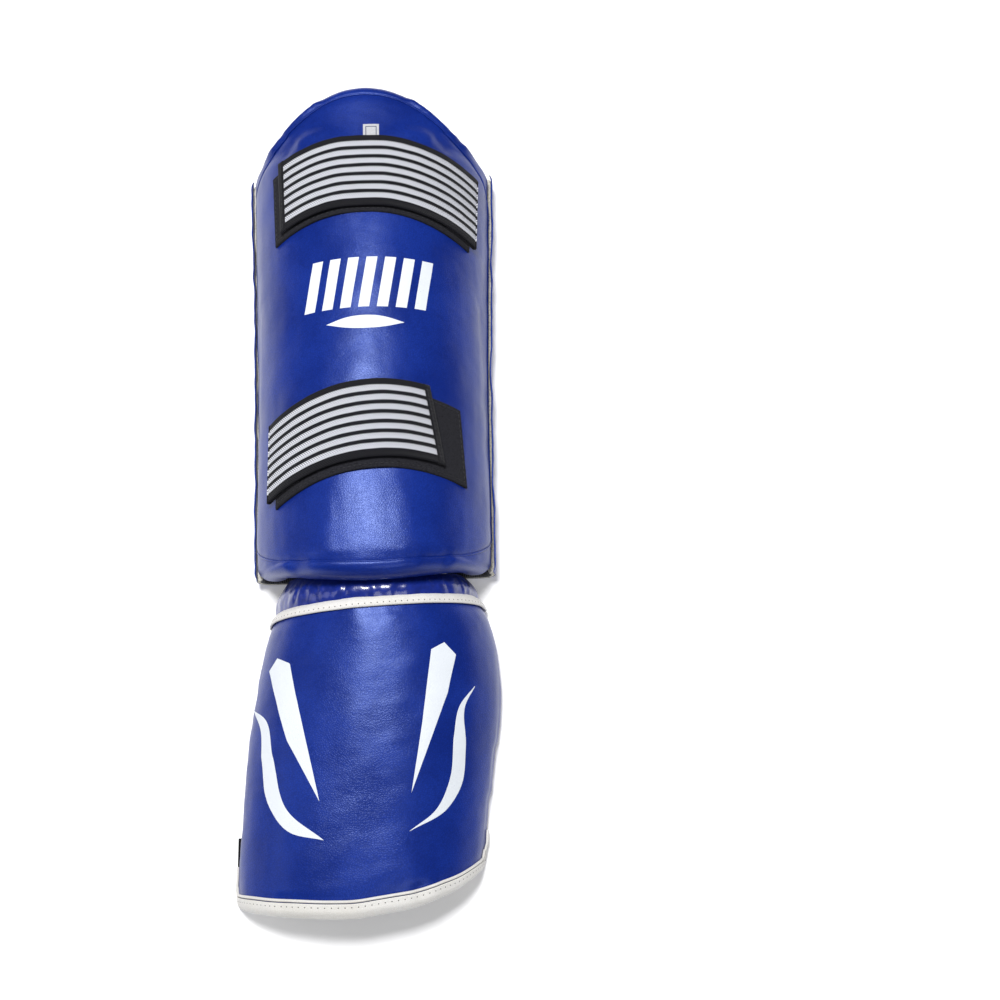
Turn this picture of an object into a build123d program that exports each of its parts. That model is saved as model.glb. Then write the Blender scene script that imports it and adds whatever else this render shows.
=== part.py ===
from build123d import *
import os

# Shin-and-instep guard lying on its back edges, outer face up, open channel down.
# Millimetres. +Z up, +Y towards the knee, X across. The origin is on the resting
# plane, under the middle of the guard.

# ---------------------------------------------------------------- driving sizes
shin_length = 331.0          # along the crown, knee edge to ankle edge
instep_length = 188.0        # along the crown, top binding to toe edge
bridge_length = 7.0          # cloth between the two pads, along the crown

knee_half_width = 86.0       # skin of the shin pad, at its three stations
calf_half_width = 80.0
ankle_half_width = 77.5
knee_rise = 79.0             # crown above the spring line
calf_rise = 77.0
ankle_rise = 75.0
spring_height = 8.0          # height of the ellipse centres over the floor
# how far the knee edge has fallen back from the crown, at distances from the middle
knee_fall = ((30.0, 6.0), (45.0, 15.0), (60.0, 25.0), (76.0, 33.0))
wing_knee_fall = 33.0        # and the wings' straight ends
ankle_bow = 14.0             # fall of the ankle edge at the pad's half width

instep_top_half_width = 62.0     # skin of the instep pad, at its four stations
instep_neck_half_width = 77.0
instep_ball_half_width = 79.5
instep_toe_half_width = 75.5
instep_top_rise = 64.0
instep_neck_rise = 60.0
instep_ball_rise = 55.0
instep_toe_rise = 45.0
neck_share = 0.2             # places of the middle two stations, in instep lengths
ball_share = 0.5
instep_top_aside = 1.0       # places of the stations' middles off the shin's centre line
instep_neck_aside = 1.5
instep_ball_aside = -4.4
instep_toe_aside = -10.8
foot_slant = 3.5             # degrees that the instep's top edge is cut out of square
instep_top_bow = 4.0
# how far the toe edge has fallen back from the toe, at places across the foot
toe_fall = ((-84.0, 7.0), (-61.0, 3.0), (-32.0, 0.5), (-12.0, 0.0), (25.0, 5.0), (49.0, 14.0), (67.0, 28.0))

# plies, outside to inside
cover_thick = 1.6
core_thick = 15.0
comfort_thick = 6.0
lining_thick = 1.4
glue_line = 0.1              # clearance between plies that are glued or sewn
gusset_thick = 1.6
seam_height = 14.0           # underside of the shin pad's side edges
instep_core_thick = 8.0
instep_edge_height = 1.6     # side edges of the instep pad over the floor

# side wings, curled under
wing_skin = 1.2
wing_foam_thick = 5.4
curl_radius = 10.0
flap_reach = 25.0
wing_end_inset = 2.0

# ankle bridge and bindings
bridge_thick = 1.2
bridge_depth = 2.0           # below the skin of the instep pad
binding_thick = 1.2
binding_lip = 8.0
toe_binding_run = 26.0       # how far the toe binding turns up each side edge
joint_clearance = 0.3

# straps: hook-and-loop closures lying over the front
webbing_width = 50.0
webbing_thick = 1.8
loop_thick = 2.0
hook_thick = 1.4
tab_thick = 1.3
strap_bow = 14.0             # fall of the strap's ends, at the strap's half span
strap_half_span = 65.0
upper_strap_from_knee = 66.0
lower_strap_from_ankle = 96.0
lower_strap_slope = 0.10
patch_drop = 6.0             # loop patches sit this much lower than the straps
upper_fold_angle = 33.0      # above the right-hand spring line
upper_free_angle = 131.0
upper_patch_end_angle = 138.0
lower_fold_angle = 139.0
lower_free_angle = 58.0
lower_patch_end_angle = 43.0
tab_sweep = 17.0             # degrees of arc that the sewn root covers
hook_sweep = 40.0            # degrees of arc that the hook tape covers
tape_sweep = 2.5             # degrees of arc that the folded end tape covers

# label and foot elastic
tag_width = 10.0
tag_length = 12.0
tag_aside = 4.6              # of its middle from the crown, to +X
tag_thick = 0.5
elastic_width = 28.0
elastic_thick = 1.5
elastic_from_toe = 42.0

# solids that only trim others
overrun = 12.0               # lofts run this far past the edges that trim them
tall = 140.0                 # height of the trimming prisms
trim_margin = 14.0           # past the widest half width

# ------------------------------------------------------------- places that follow
total_length = shin_length + bridge_length + instep_length
knee_edge = total_length / 2
ankle_edge = knee_edge - shin_length
instep_edge = ankle_edge - bridge_length
toe_edge = instep_edge - instep_length
reach = knee_half_width + trim_margin

shin_thick = cover_thick + core_thick + comfort_thick + lining_thick + 3 * glue_line
core_top = cover_thick + glue_line
comfort_top = core_top + core_thick + glue_line
lining_top = comfort_top + comfort_thick + glue_line

instep_core_top = cover_thick + glue_line
instep_lining_top = instep_core_top + instep_core_thick + glue_line
instep_thick = instep_lining_top + lining_thick

wing_foam_top = wing_skin + glue_line
wing_lining_top = wing_foam_top + wing_foam_thick + glue_line
wing_thick = wing_lining_top + wing_skin
wing_knee_end = knee_edge - wing_knee_fall - wing_end_inset
wing_ankle_end = ankle_edge + ankle_bow + wing_end_inset

upper_strap_place = knee_edge - upper_strap_from_knee
lower_strap_place = ankle_edge + lower_strap_from_ankle
tab_height = loop_thick + glue_line
hook_height = loop_thick + joint_clearance
webbing_height = hook_height + hook_thick + glue_line
webbing_top = webbing_height + webbing_thick
fold_height = (tab_height + tab_thick + webbing_height) / 2

# station: (place along Y, half width, rise)
shin_stations = (
    (ankle_edge - overrun, ankle_half_width, ankle_rise),
    ((ankle_edge + knee_edge) / 2, calf_half_width, calf_rise),
    (knee_edge + overrun, knee_half_width, knee_rise),
)
# station: (distance from the top binding towards the toe, half width, rise, middle)
instep_stations = (
    (-instep_top_bow - overrun, instep_top_half_width, instep_top_rise, instep_top_aside),
    (instep_length * neck_share, instep_neck_half_width, instep_neck_rise, instep_neck_aside),
    (instep_length * ball_share, instep_ball_half_width, instep_ball_rise, instep_ball_aside),
    (instep_length + overrun, instep_toe_half_width, instep_toe_rise, instep_toe_aside),
)


# ------------------------------------------------------------------ shared shapes
def arch_section(plane, half_width, rise, spring, outer, inner):
    """Half ring between two half ellipses, outer and inner deep below the skin."""
    with BuildSketch(plane) as section:
        with BuildLine():
            top = EllipticalCenterArc((0, spring), half_width - outer, rise - outer, arc_size=180)
            under = EllipticalCenterArc((0, spring), half_width - inner, rise - inner, arc_size=180)
            Line(top @ 1, under @ 1)
            Line(top @ 0, under @ 0)
        make_face()
    return section.sketch


def shin_arch(outer, inner):
    """The shin pad's arch between two depths, longer than the pad."""
    sections = []
    for place, half_width, rise in shin_stations:
        plane = Plane.XZ.offset(-place)
        sections.append(arch_section(plane, half_width, rise, spring_height, outer, inner))
    with BuildPart() as arch:
        loft(sections)
    return arch.part


def instep_arch(outer, inner):
    """The instep pad's arch between two depths, longer than the pad, its centre swept aside."""
    sections = []
    for distance, half_width, rise, middle in instep_stations:
        plane = Plane(origin=(middle, instep_edge - distance, 0), x_dir=(1, 0, 0), z_dir=(0, -1, 0))
        sections.append(arch_section(plane, half_width, rise, 0, outer, inner))
    with BuildPart() as arch:
        loft(sections)
    return arch.part


def fallen_edge(crown, stations, way):
    """Points of an edge whose falls from the crown are listed, run on straight to the reach."""
    (first_x, first_fall), (second_x, second_fall) = stations[0], stations[1]
    (last_x, last_fall), (before_x, before_fall) = stations[-1], stations[-2]
    start_rate = (first_fall - second_fall) / (first_x - second_x)
    end_rate = (last_fall - before_fall) / (last_x - before_x)
    start = (-reach, first_fall + start_rate * (-reach - first_x))
    end = (reach, last_fall + end_rate * (reach - last_x))
    return [(x, crown + way * fall) for x, fall in (start, *stations, end)]


def bowed_edge(crown, bow, half_width, slant=0.0):
    """Three points of an edge that falls back by bow at half_width, turned by slant."""
    fall = bow * (reach / half_width) ** 2
    turn = Axis((0, crown, 0), (0, 0, 1))
    points = (Vector(-reach, crown + fall), Vector(0, crown), Vector(reach, crown + fall))
    return [point.rotate(turn, slant) for point in points]


def closed_outline(top, low):
    """Plan face between two curved edges, each a list of points from -X to +X."""
    with BuildSketch() as outline:
        with BuildLine():
            Spline(*top)
            Spline(*low)
            Line(top[0], low[0])
            Line(top[-1], low[-1])
        make_face()
    return outline.sketch


def shin_outline(inset):
    """Plan of the shin pad, both ends bowed and set in by inset."""
    sides = [(-x, fall) for x, fall in reversed(knee_fall)]
    knee = fallen_edge(knee_edge - inset, (*sides, (0.0, 0.0), *knee_fall), -1)
    ankle = bowed_edge(ankle_edge + inset, ankle_bow, ankle_half_width)
    return closed_outline(knee, ankle)


def foot_outline(top_inset, toe_inset):
    """Plan of the instep pad, both edges bowed, slanted and set in."""
    top = bowed_edge(instep_edge - top_inset, instep_top_bow, instep_top_half_width, foot_slant)
    toe = fallen_edge(toe_edge + toe_inset, toe_fall, 1)
    return closed_outline(top, toe)


def strap_footprint(centre, slope, width):
    """Plan of a strip that lies across the crown, its ends fallen towards the toe."""
    span = strap_half_span
    left = centre - strap_bow - slope * span
    right = centre - strap_bow + slope * span
    with BuildSketch() as strip:
        with BuildLine():
            upper = ThreePointArc(
                (-span, left + width / 2), (0, centre + width / 2), (span, right + width / 2)
            )
            lower = ThreePointArc(
                (-span, left - width / 2), (0, centre - width / 2), (span, right - width / 2)
            )
            left_run = Line((-reach, (upper @ 0).Y), upper @ 0)
            right_run = Line(upper @ 1, (reach, (upper @ 1).Y))
            Line(right_run @ 1, (reach, (lower @ 1).Y))
            Line((reach, (lower @ 1).Y), lower @ 1)
            Line(lower @ 0, (-reach, (lower @ 0).Y))
            Line((-reach, (lower @ 0).Y), left_run @ 0)
        make_face()
    return strip.sketch


def sector(start_angle, end_angle):
    """Wedge about the spring line, from one angle above the right side to another."""
    centre = Vector(0, spring_height)
    ray = Vector(2 * reach, 0)
    corners = [centre]
    for angle in (start_angle, (start_angle + end_angle) / 2, end_angle):
        corners.append(centre + ray.rotate(Axis.Z, angle))
    with BuildSketch(Plane.XZ) as wedge:
        with BuildLine():
            Polyline(*corners, close=True)
        make_face()
    return wedge.sketch


def strap_ply(low, high, start_angle, end_angle, centre, slope, width):
    """A ply that follows the shin pad's skin, between two heights above it."""
    with BuildPart() as ply:
        add(shin_arch(-high, -low))
        extrude(strap_footprint(centre, slope, width), amount=tall, mode=Mode.INTERSECT)
        extrude(sector(start_angle, end_angle), amount=total_length, both=True, mode=Mode.INTERSECT)
    return ply.part


def pad_ply(outer, inner):
    """One ply of the shin pad, cut to the space inside the gussets."""
    with BuildPart() as ply:
        add(shin_arch(outer, inner))
        with BuildSketch(Plane.XY.offset(seam_height + gusset_thick + glue_line)):
            add(shin_outline(gusset_thick + glue_line))
        extrude(amount=tall, mode=Mode.INTERSECT)
    return ply.part


def end_gusset(keep):
    """The strip that closes one end of the shin pad, from skin to lining."""
    with BuildPart() as strip:
        add(shin_arch(0, shin_thick))
        with BuildSketch(Plane.XY.offset(seam_height + gusset_thick + glue_line)):
            add(shin_outline(0))
            add(shin_outline(gusset_thick), mode=Mode.SUBTRACT)
        extrude(amount=tall, mode=Mode.INTERSECT)
        split(bisect_by=Plane.XZ.offset(-(knee_edge + ankle_edge) / 2), keep=keep)
    return strip.part


def side_gusset():
    """The strip that closes the right-hand lower edge of the shin pad."""
    with BuildPart() as strip:
        add(shin_arch(0, shin_thick))
        with BuildSketch(Plane.XY.offset(seam_height)):
            add(shin_outline(0))
        extrude(amount=gusset_thick, mode=Mode.INTERSECT)
        split(bisect_by=Plane.YZ, keep=Keep.TOP)
    return strip.part


def wing_section(place, half_width, near, far):
    """Wing wall at one station: down from the seam, round the curl, in along the floor."""
    centre = half_width - curl_radius
    tip = centre - flap_reach
    head = seam_height - glue_line
    with BuildSketch(Plane.XZ.offset(-place)) as section:
        with BuildLine():
            outer = CenterArc((centre, curl_radius), curl_radius - near, -90, 90)
            inner = CenterArc((centre, curl_radius), curl_radius - far, -90, 90)
            Line(outer @ 1, (half_width - near, head))
            Line((half_width - near, head), (half_width - far, head))
            Line((half_width - far, head), inner @ 1)
            Line(inner @ 0, (tip, far))
            Line((tip, far), (tip, near))
            Line((tip, near), outer @ 0)
        make_face()
    return section.sketch


def wing_ply(near, far):
    """One ply of the right-hand wing, between two depths from its outer face."""
    sections = []
    for place, half_width, rise in shin_stations:
        sections.append(wing_section(place, half_width, near, far))
    with BuildPart() as ply:
        loft(sections)
        with BuildSketch():
            with Locations((0, (wing_knee_end + wing_ankle_end) / 2)):
                Rectangle(2 * reach, wing_knee_end - wing_ankle_end)
        extrude(amount=tall, mode=Mode.INTERSECT)
    return ply.part


def instep_ply(outer, inner, gap=0.0):
    """One ply of the instep pad, cut to the space inside its bindings, grown by gap."""
    with BuildPart() as ply:
        add(instep_arch(outer, inner))
        with BuildSketch(Plane.XY.offset(instep_edge_height - gap)):
            add(foot_outline(binding_thick + glue_line - gap, binding_thick + glue_line - gap))
        extrude(amount=tall, mode=Mode.INTERSECT)
    return ply.part


def binding_strip(edge_strip, base, height):
    """The tape's outer and inner faces over a strip of the plan, before the pad is cut out."""
    with BuildPart() as strip:
        add(instep_arch(-binding_thick, instep_thick + binding_thick))
        with BuildSketch(Plane.XY.offset(base)):
            add(edge_strip)
        extrude(amount=height, mode=Mode.INTERSECT)
    return strip.part


os.makedirs("parts", exist_ok=True)
pieces = []

# --------------------------------------------------------------- shin pad, outside in
with BuildPart() as shin_front_cover:
    add(pad_ply(0, cover_thick))
shin_front_cover.part.label = "shin_front_cover"

with BuildPart() as shin_foam_core:
    add(pad_ply(core_top, core_top + core_thick))
shin_foam_core.part.label = "shin_foam_core"

with BuildPart() as shin_comfort_foam:
    add(pad_ply(comfort_top, comfort_top + comfort_thick))
shin_comfort_foam.part.label = "shin_comfort_foam"

with BuildPart() as shin_lining:
    add(pad_ply(lining_top, shin_thick))
shin_lining.part.label = "shin_lining"

with BuildPart() as knee_gusset:
    add(end_gusset(Keep.BOTTOM))
knee_gusset.part.label = "knee_gusset"

with BuildPart() as ankle_gusset:
    add(end_gusset(Keep.TOP))
ankle_gusset.part.label = "ankle_gusset"

with BuildPart() as right_side_gusset:
    add(side_gusset())
right_side_gusset.part.label = "right_side_gusset"

with BuildPart() as left_side_gusset:
    add(mirror(right_side_gusset.part, about=Plane.YZ, mode=Mode.PRIVATE))
left_side_gusset.part.label = "left_side_gusset"

pieces += [shin_front_cover, shin_foam_core, shin_comfort_foam, shin_lining]
pieces += [knee_gusset, ankle_gusset, right_side_gusset, left_side_gusset]

# ------------------------------------------------------------------------ side wings
wing_plies = {
    "wing_cover": (0, wing_skin),
    "wing_foam": (wing_foam_top, wing_foam_top + wing_foam_thick),
    "wing_lining": (wing_lining_top, wing_thick),
}
for ply_name, (near, far) in wing_plies.items():
    with BuildPart() as right_wing_ply:
        add(wing_ply(near, far))
    right_wing_ply.part.label = "right_" + ply_name
    with BuildPart() as left_wing_ply:
        add(mirror(right_wing_ply.part, about=Plane.YZ, mode=Mode.PRIVATE))
    left_wing_ply.part.label = "left_" + ply_name
    pieces += [right_wing_ply, left_wing_ply]

# ------------------------------------------------------------- closures on the front
with BuildPart() as upper_loop_patch:
    add(
        strap_ply(
            0, loop_thick, upper_fold_angle, upper_patch_end_angle,
            upper_strap_place - patch_drop / 2, 0, webbing_width,
        )
    )
upper_loop_patch.part.label = "upper_loop_patch"

with BuildPart() as lower_loop_patch:
    add(
        strap_ply(
            0, loop_thick, lower_patch_end_angle, lower_fold_angle,
            lower_strap_place - patch_drop, lower_strap_slope, webbing_width,
        )
    )
lower_loop_patch.part.label = "lower_loop_patch"

with BuildPart() as upper_strap_tab:
    add(
        strap_ply(
            tab_height, tab_height + tab_thick, upper_fold_angle, upper_fold_angle + tab_sweep,
            upper_strap_place, 0, webbing_width,
        )
    )
upper_strap_tab.part.label = "upper_strap_tab"

with BuildPart() as lower_strap_tab:
    add(
        strap_ply(
            tab_height, tab_height + tab_thick, lower_fold_angle - tab_sweep, lower_fold_angle,
            lower_strap_place, lower_strap_slope, webbing_width,
        )
    )
lower_strap_tab.part.label = "lower_strap_tab"

with BuildPart() as upper_strap_webbing:
    add(
        strap_ply(
            webbing_height, webbing_top, upper_fold_angle, upper_free_angle - tape_sweep,
            upper_strap_place, 0, webbing_width,
        )
    )
upper_strap_webbing.part.label = "upper_strap_webbing"

with BuildPart() as upper_strap_end_tape:
    add(
        strap_ply(
            webbing_height, webbing_top, upper_free_angle - tape_sweep, upper_free_angle,
            upper_strap_place, 0, webbing_width,
        )
    )
upper_strap_end_tape.part.label = "upper_strap_end_tape"

with BuildPart() as upper_hook_tape:
    add(
        strap_ply(
            hook_height, hook_height + hook_thick, upper_free_angle - hook_sweep,
            upper_free_angle - tape_sweep, upper_strap_place, 0, webbing_width,
        )
    )
upper_hook_tape.part.label = "upper_hook_tape"

with BuildPart() as lower_strap_webbing:
    add(
        strap_ply(
            webbing_height, webbing_top, lower_free_angle + tape_sweep, lower_fold_angle,
            lower_strap_place, lower_strap_slope, webbing_width,
        )
    )
lower_strap_webbing.part.label = "lower_strap_webbing"

with BuildPart() as lower_strap_end_tape:
    add(
        strap_ply(
            webbing_height, webbing_top, lower_free_angle, lower_free_angle + tape_sweep,
            lower_strap_place, lower_strap_slope, webbing_width,
        )
    )
lower_strap_end_tape.part.label = "lower_strap_end_tape"

with BuildPart() as lower_hook_tape:
    add(
        strap_ply(
            hook_height, hook_height + hook_thick, lower_free_angle + tape_sweep,
            lower_free_angle + hook_sweep, lower_strap_place, lower_strap_slope, webbing_width,
        )
    )
lower_hook_tape.part.label = "lower_hook_tape"

with BuildPart() as size_tag:
    add(shin_arch(-tag_thick, 0))
    with BuildSketch():
        with Locations((tag_aside, upper_strap_place + webbing_width / 2 + tag_length / 2)):
            Rectangle(tag_width, tag_length)
    extrude(amount=tall, mode=Mode.INTERSECT)
size_tag.part.label = "size_tag"

pieces += [upper_loop_patch, lower_loop_patch, upper_strap_tab, lower_strap_tab]
pieces += [upper_strap_webbing, upper_strap_end_tape, upper_hook_tape]
pieces += [lower_strap_webbing, lower_strap_end_tape, lower_hook_tape, size_tag]

# ---------------------------------------------------------------------- ankle bridge
with BuildPart() as ankle_bridge:
    add(instep_arch(bridge_depth, bridge_depth + bridge_thick))
    with BuildSketch(Plane.XY.offset(seam_height + gusset_thick)):
        with Locations((0, instep_edge)):
            Rectangle(2 * reach, 2 * (bridge_length + ankle_bow))
        add(shin_outline(-glue_line), mode=Mode.SUBTRACT)
        add(foot_outline(-joint_clearance, 0), mode=Mode.SUBTRACT)
    extrude(amount=tall, mode=Mode.INTERSECT)
ankle_bridge.part.label = "ankle_bridge"

# -------------------------------------------------------------------------- instep pad
with BuildPart() as instep_cover:
    add(instep_ply(0, cover_thick))
instep_cover.part.label = "instep_cover"

with BuildPart() as instep_foam_core:
    add(instep_ply(instep_core_top, instep_core_top + instep_core_thick))
instep_foam_core.part.label = "instep_foam_core"

with BuildPart() as instep_lining:
    add(instep_ply(instep_lining_top, instep_thick))
instep_lining.part.label = "instep_lining"

with BuildSketch() as top_strip:
    add(foot_outline(0, 0))
    add(foot_outline(binding_lip, -overrun), mode=Mode.SUBTRACT)

with BuildSketch() as toe_strip:
    add(foot_outline(0, 0))
    add(foot_outline(-overrun, binding_lip), mode=Mode.SUBTRACT)

with BuildSketch() as corner_strip:
    add(foot_outline(0, 0))
    add(foot_outline(-overrun, toe_binding_run), mode=Mode.SUBTRACT)

with BuildPart() as instep_top_binding:
    add(binding_strip(top_strip.sketch, instep_edge_height, tall))
    add(instep_ply(-glue_line, instep_thick + glue_line, glue_line), mode=Mode.SUBTRACT)
instep_top_binding.part.label = "instep_top_binding"

with BuildPart() as instep_toe_binding:
    add(binding_strip(toe_strip.sketch, 0, tall))
    add(binding_strip(corner_strip.sketch, 0, binding_lip))
    add(instep_ply(-glue_line, instep_thick + glue_line, glue_line), mode=Mode.SUBTRACT)
instep_toe_binding.part.label = "instep_toe_binding"

with BuildPart() as foot_elastic:
    with BuildSketch():
        with Locations((instep_toe_aside, toe_edge + elastic_from_toe)):
            Rectangle(2 * instep_toe_half_width, elastic_width, rotation=foot_slant)
    extrude(amount=elastic_thick)
    add(instep_arch(-overrun, instep_thick + binding_thick + glue_line), mode=Mode.SUBTRACT)
foot_elastic.part.label = "foot_elastic"

pieces += [ankle_bridge, instep_cover, instep_foam_core, instep_lining]
pieces += [instep_top_binding, instep_toe_binding, foot_elastic]

for piece in pieces:
    export_step(piece.part, f"parts/{piece.part.label}.step")
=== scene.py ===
import math

import bpy
import numpy as np
from mathutils import Matrix, Vector
from mathutils.bvhtree import BVHTree


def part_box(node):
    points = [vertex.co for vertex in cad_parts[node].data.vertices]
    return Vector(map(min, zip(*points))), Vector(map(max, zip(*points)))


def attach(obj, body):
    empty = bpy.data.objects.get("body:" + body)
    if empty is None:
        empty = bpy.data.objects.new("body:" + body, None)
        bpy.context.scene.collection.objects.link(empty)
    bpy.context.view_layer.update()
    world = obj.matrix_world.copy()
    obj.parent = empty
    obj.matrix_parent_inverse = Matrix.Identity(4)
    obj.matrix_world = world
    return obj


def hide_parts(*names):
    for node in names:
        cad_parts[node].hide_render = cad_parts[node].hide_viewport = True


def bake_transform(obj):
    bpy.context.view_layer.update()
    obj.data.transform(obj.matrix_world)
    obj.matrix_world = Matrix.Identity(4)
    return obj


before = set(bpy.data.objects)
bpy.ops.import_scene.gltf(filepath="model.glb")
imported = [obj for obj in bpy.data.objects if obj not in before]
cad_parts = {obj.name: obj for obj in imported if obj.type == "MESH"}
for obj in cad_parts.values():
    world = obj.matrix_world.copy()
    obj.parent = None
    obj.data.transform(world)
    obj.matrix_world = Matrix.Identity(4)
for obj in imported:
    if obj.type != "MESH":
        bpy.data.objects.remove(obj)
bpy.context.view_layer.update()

# ------------------------------------------------------------------ camera
# The guard lies on a table, knee end away from the viewer, and is seen from above
# its toe end, a little to its right. The guard's long axis is Y.
view_turn = math.radians(-1.9)     # about Z
view_tilt = math.radians(17.5)     # off straight down, towards the knee

camera_data = bpy.data.cameras.new("camera")
camera_data.lens = 54.0
camera_data.sensor_width = 36.0
camera = bpy.data.objects.new("camera", camera_data)
bpy.context.scene.collection.objects.link(camera)
camera.matrix_world = (
    Matrix.Translation((0.0713, -0.2956, 0.942))
    @ Matrix.Rotation(view_turn, 4, "Z")
    @ Matrix.Rotation(view_tilt, 4, "X")
)
bpy.context.scene.camera = camera

# ------------------------------------------------------------------ floor and light
# A plain pale table top with a faint glow, soft boxes over the guard's left side, its
# knee end and its toe end, and a dim pale room all round.


def add_softbox(name, place, aim, size, power):
    """A square area light at place, turned to face aim."""
    data = bpy.data.lights.new(name, "AREA")
    data.size = size
    data.energy = power
    light = bpy.data.objects.new(name, data)
    light.location = place
    light.rotation_euler = (Vector(aim) - Vector(place)).to_track_quat("-Z", "Y").to_euler()
    bpy.context.scene.collection.objects.link(light)


add_softbox("crown_softbox", (-0.12, 0.32, 1.7), (0.0, 0.0, 0.05), 0.42, 34.0)
add_softbox("left_softbox", (-1.5, -0.2, 0.9), (0.0, 0.0, 0.05), 0.8, 3.0)
add_softbox("toe_softbox", (0.5, -1.5, 1.5), (0.0, -0.1, 0.05), 0.9, 8.0)

room = bpy.data.worlds.new("room")
room.use_nodes = True
room.node_tree.nodes["Background"].inputs["Color"].default_value = (0.93, 0.95, 1.0, 1.0)
room.node_tree.nodes["Background"].inputs["Strength"].default_value = 0.10
bpy.context.scene.world = room
bpy.context.scene.view_settings.view_transform = "Standard"


def start_material(name, color, roughness):
    """A material whose Principled shader has one colour and roughness, its tree and its shader."""
    material = bpy.data.materials.new(name)
    material.use_nodes = True
    shader = material.node_tree.nodes["Principled BSDF"]
    shader.inputs["Base Color"].default_value = (*color, 1.0)
    shader.inputs["Roughness"].default_value = roughness
    return material, material.node_tree, shader


table_top, _, table_shader = start_material("pale_table_top", (0.93, 0.93, 0.94), 0.9)
table_shader.inputs["Emission Color"].default_value = (1.0, 1.0, 1.0, 1.0)
table_shader.inputs["Emission Strength"].default_value = 0.2
floor_mesh = bpy.data.meshes.new("floor")
floor_mesh.from_pydata(
    [(-4, -4, -0.0004), (4, -4, -0.0004), (4, 4, -0.0004), (-4, 4, -0.0004)], [], [(0, 1, 2, 3)]
)
floor_mesh.materials.append(table_top)
floor = bpy.data.objects.new("floor", floor_mesh)
bpy.context.scene.collection.objects.link(floor)

# ------------------------------------------------------------------ face of the shin pad
# The blue face is one panel of polyurethane-coated leather cloth over foam. It is
# bent to a half round and sewn to gussets all round, so it swells a little between
# its seams, and its grain is the fine pebble rolled into the coating.
end_puff = 0.003                                # the foam's rounded ends fill out past the CAD
knee_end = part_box("knee_gusset")[1].y + end_puff    # at the crown
ankle_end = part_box("ankle_gusset")[0].y
pad_spring = 0.008                              # height of the half round's centre
pad_half_widths = (0.0775, 0.080, 0.086)        # ankle, calf, knee
pad_rises = (0.075, 0.077, 0.079)
pad_overrun = 0.012
ankle_bow = 0.014                               # fall of the ankle end at the pad's sides
knee_reach = 0.084                              # half width over which the knee end falls
knee_fall_places = (0.0, 0.015, 0.030, 0.045, 0.060, 0.072, 0.086)
knee_falls = (0.0, 0.0014, 0.0060, 0.0146, 0.0250, 0.0312, 0.0345)
pad_radius = 0.0785                             # turns arc length into angle
pad_thick = 0.0243
pad_roll = 0.0075                               # how far an end rounds over, along Y
side_roll = 0.004                               # and a side edge
pad_foot = 0.0142                               # height of the side edges
cover_thick = 0.0016


def through(y, stations, values):
    """The polynomial through one value at each station, in Lagrange's form."""
    total = np.zeros_like(np.asarray(y, float))
    for i, value in enumerate(values):
        term = np.full_like(total, value)
        for j, other in enumerate(stations):
            if j != i:
                term = term * (y - other) / (stations[i] - other)
        total = total + term
    return total


pad_stations = (ankle_end - pad_overrun, (ankle_end + knee_end) / 2, knee_end + pad_overrun)


def pad_base(s, y, lift):
    """The shin pad's plain half round: arc s from the crown towards +X, place y, height over it.

    x = (a + lift) sin(s / R) and z = spring + (b + lift) cos(s / R), with a and b the
    ellipse's half axes at y and R the pad's mean radius.
    """
    turn = s / pad_radius
    x = (through(y, pad_stations, pad_half_widths) + lift) * np.sin(turn)
    z = pad_spring + (through(y, pad_stations, pad_rises) + lift) * np.cos(turn)
    return np.stack(np.broadcast_arrays(x, y, z), axis=-1)


def soft_steps(x, places, values):
    """Values at places joined by smooth curves: straight runs averaged over 8 mm."""
    shifts = np.linspace(-0.004, 0.004, 9)
    return sum(np.interp(np.abs(x + shift), places, values) for shift in shifts) / len(shifts)


def knee_line(s):
    """Outline of the knee end: it falls back from the crown to low shoulders."""
    return knee_end - soft_steps(knee_reach * np.sin(s / pad_radius), knee_fall_places, knee_falls)


def ankle_line(s):
    """Outline of the ankle end."""
    return ankle_end + ankle_bow * np.sin(s / pad_radius) ** 2


pad_side = pad_radius * math.acos((pad_foot - pad_spring) / pad_rises[1])   # arc to the side edge


def grid_quads(rows, columns, closed=False):
    """Quads of a grid of points that run row by row; closed joins the last column to the first."""
    index = np.arange(rows * columns).reshape(rows, columns)
    if closed:
        index = np.concatenate([index, index[:, :1]], axis=1)
    quads = np.stack([index[:-1, :-1], index[1:, :-1], index[1:, 1:], index[:-1, 1:]], axis=-1)
    return quads.reshape(-1, 4)


def make_piece(name, points, quads, flat=None):
    """A smooth mesh object from points and quads, turned to face outwards, with a map in metres."""
    corner = points[quads] - points.mean(axis=0)
    cross = np.cross(corner[:, 1] - corner[:, 0], corner[:, 2] - corner[:, 0])
    cross += np.cross(corner[:, 2] - corner[:, 0], corner[:, 3] - corner[:, 0])
    if np.einsum("ij,ij->", corner.mean(axis=1), cross) < 0:
        quads = quads[:, ::-1]
    mesh = bpy.data.meshes.new(name)
    mesh.from_pydata(points.tolist(), [], quads.tolist())
    mesh.polygons.foreach_set("use_smooth", np.ones(len(quads), bool))
    if flat is not None:
        layer = mesh.uv_layers.new(name="flat")
        layer.data.foreach_set("uv", flat[quads.ravel()].astype(np.float32).ravel())
    mesh.update()
    piece = bpy.data.objects.new(name, mesh)
    bpy.context.scene.collection.objects.link(piece)
    return piece


def rim_grid(low, high, step, rounding):
    """Values from low to high about step apart, closer where the rim rounds over.

    Inside the rounding they stand at rounding * (1 - cos a), a in equal steps.
    """
    rim = rounding * (1 - np.cos(np.linspace(0, math.pi / 2, 5)))[:-1]
    count = max(2, int(round((high - low - 2 * rounding) / step)) + 1)
    middle = np.linspace(low + rounding, high - rounding, count)
    return np.concatenate([low + rim, middle, (high - rim)[::-1]])


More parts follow.
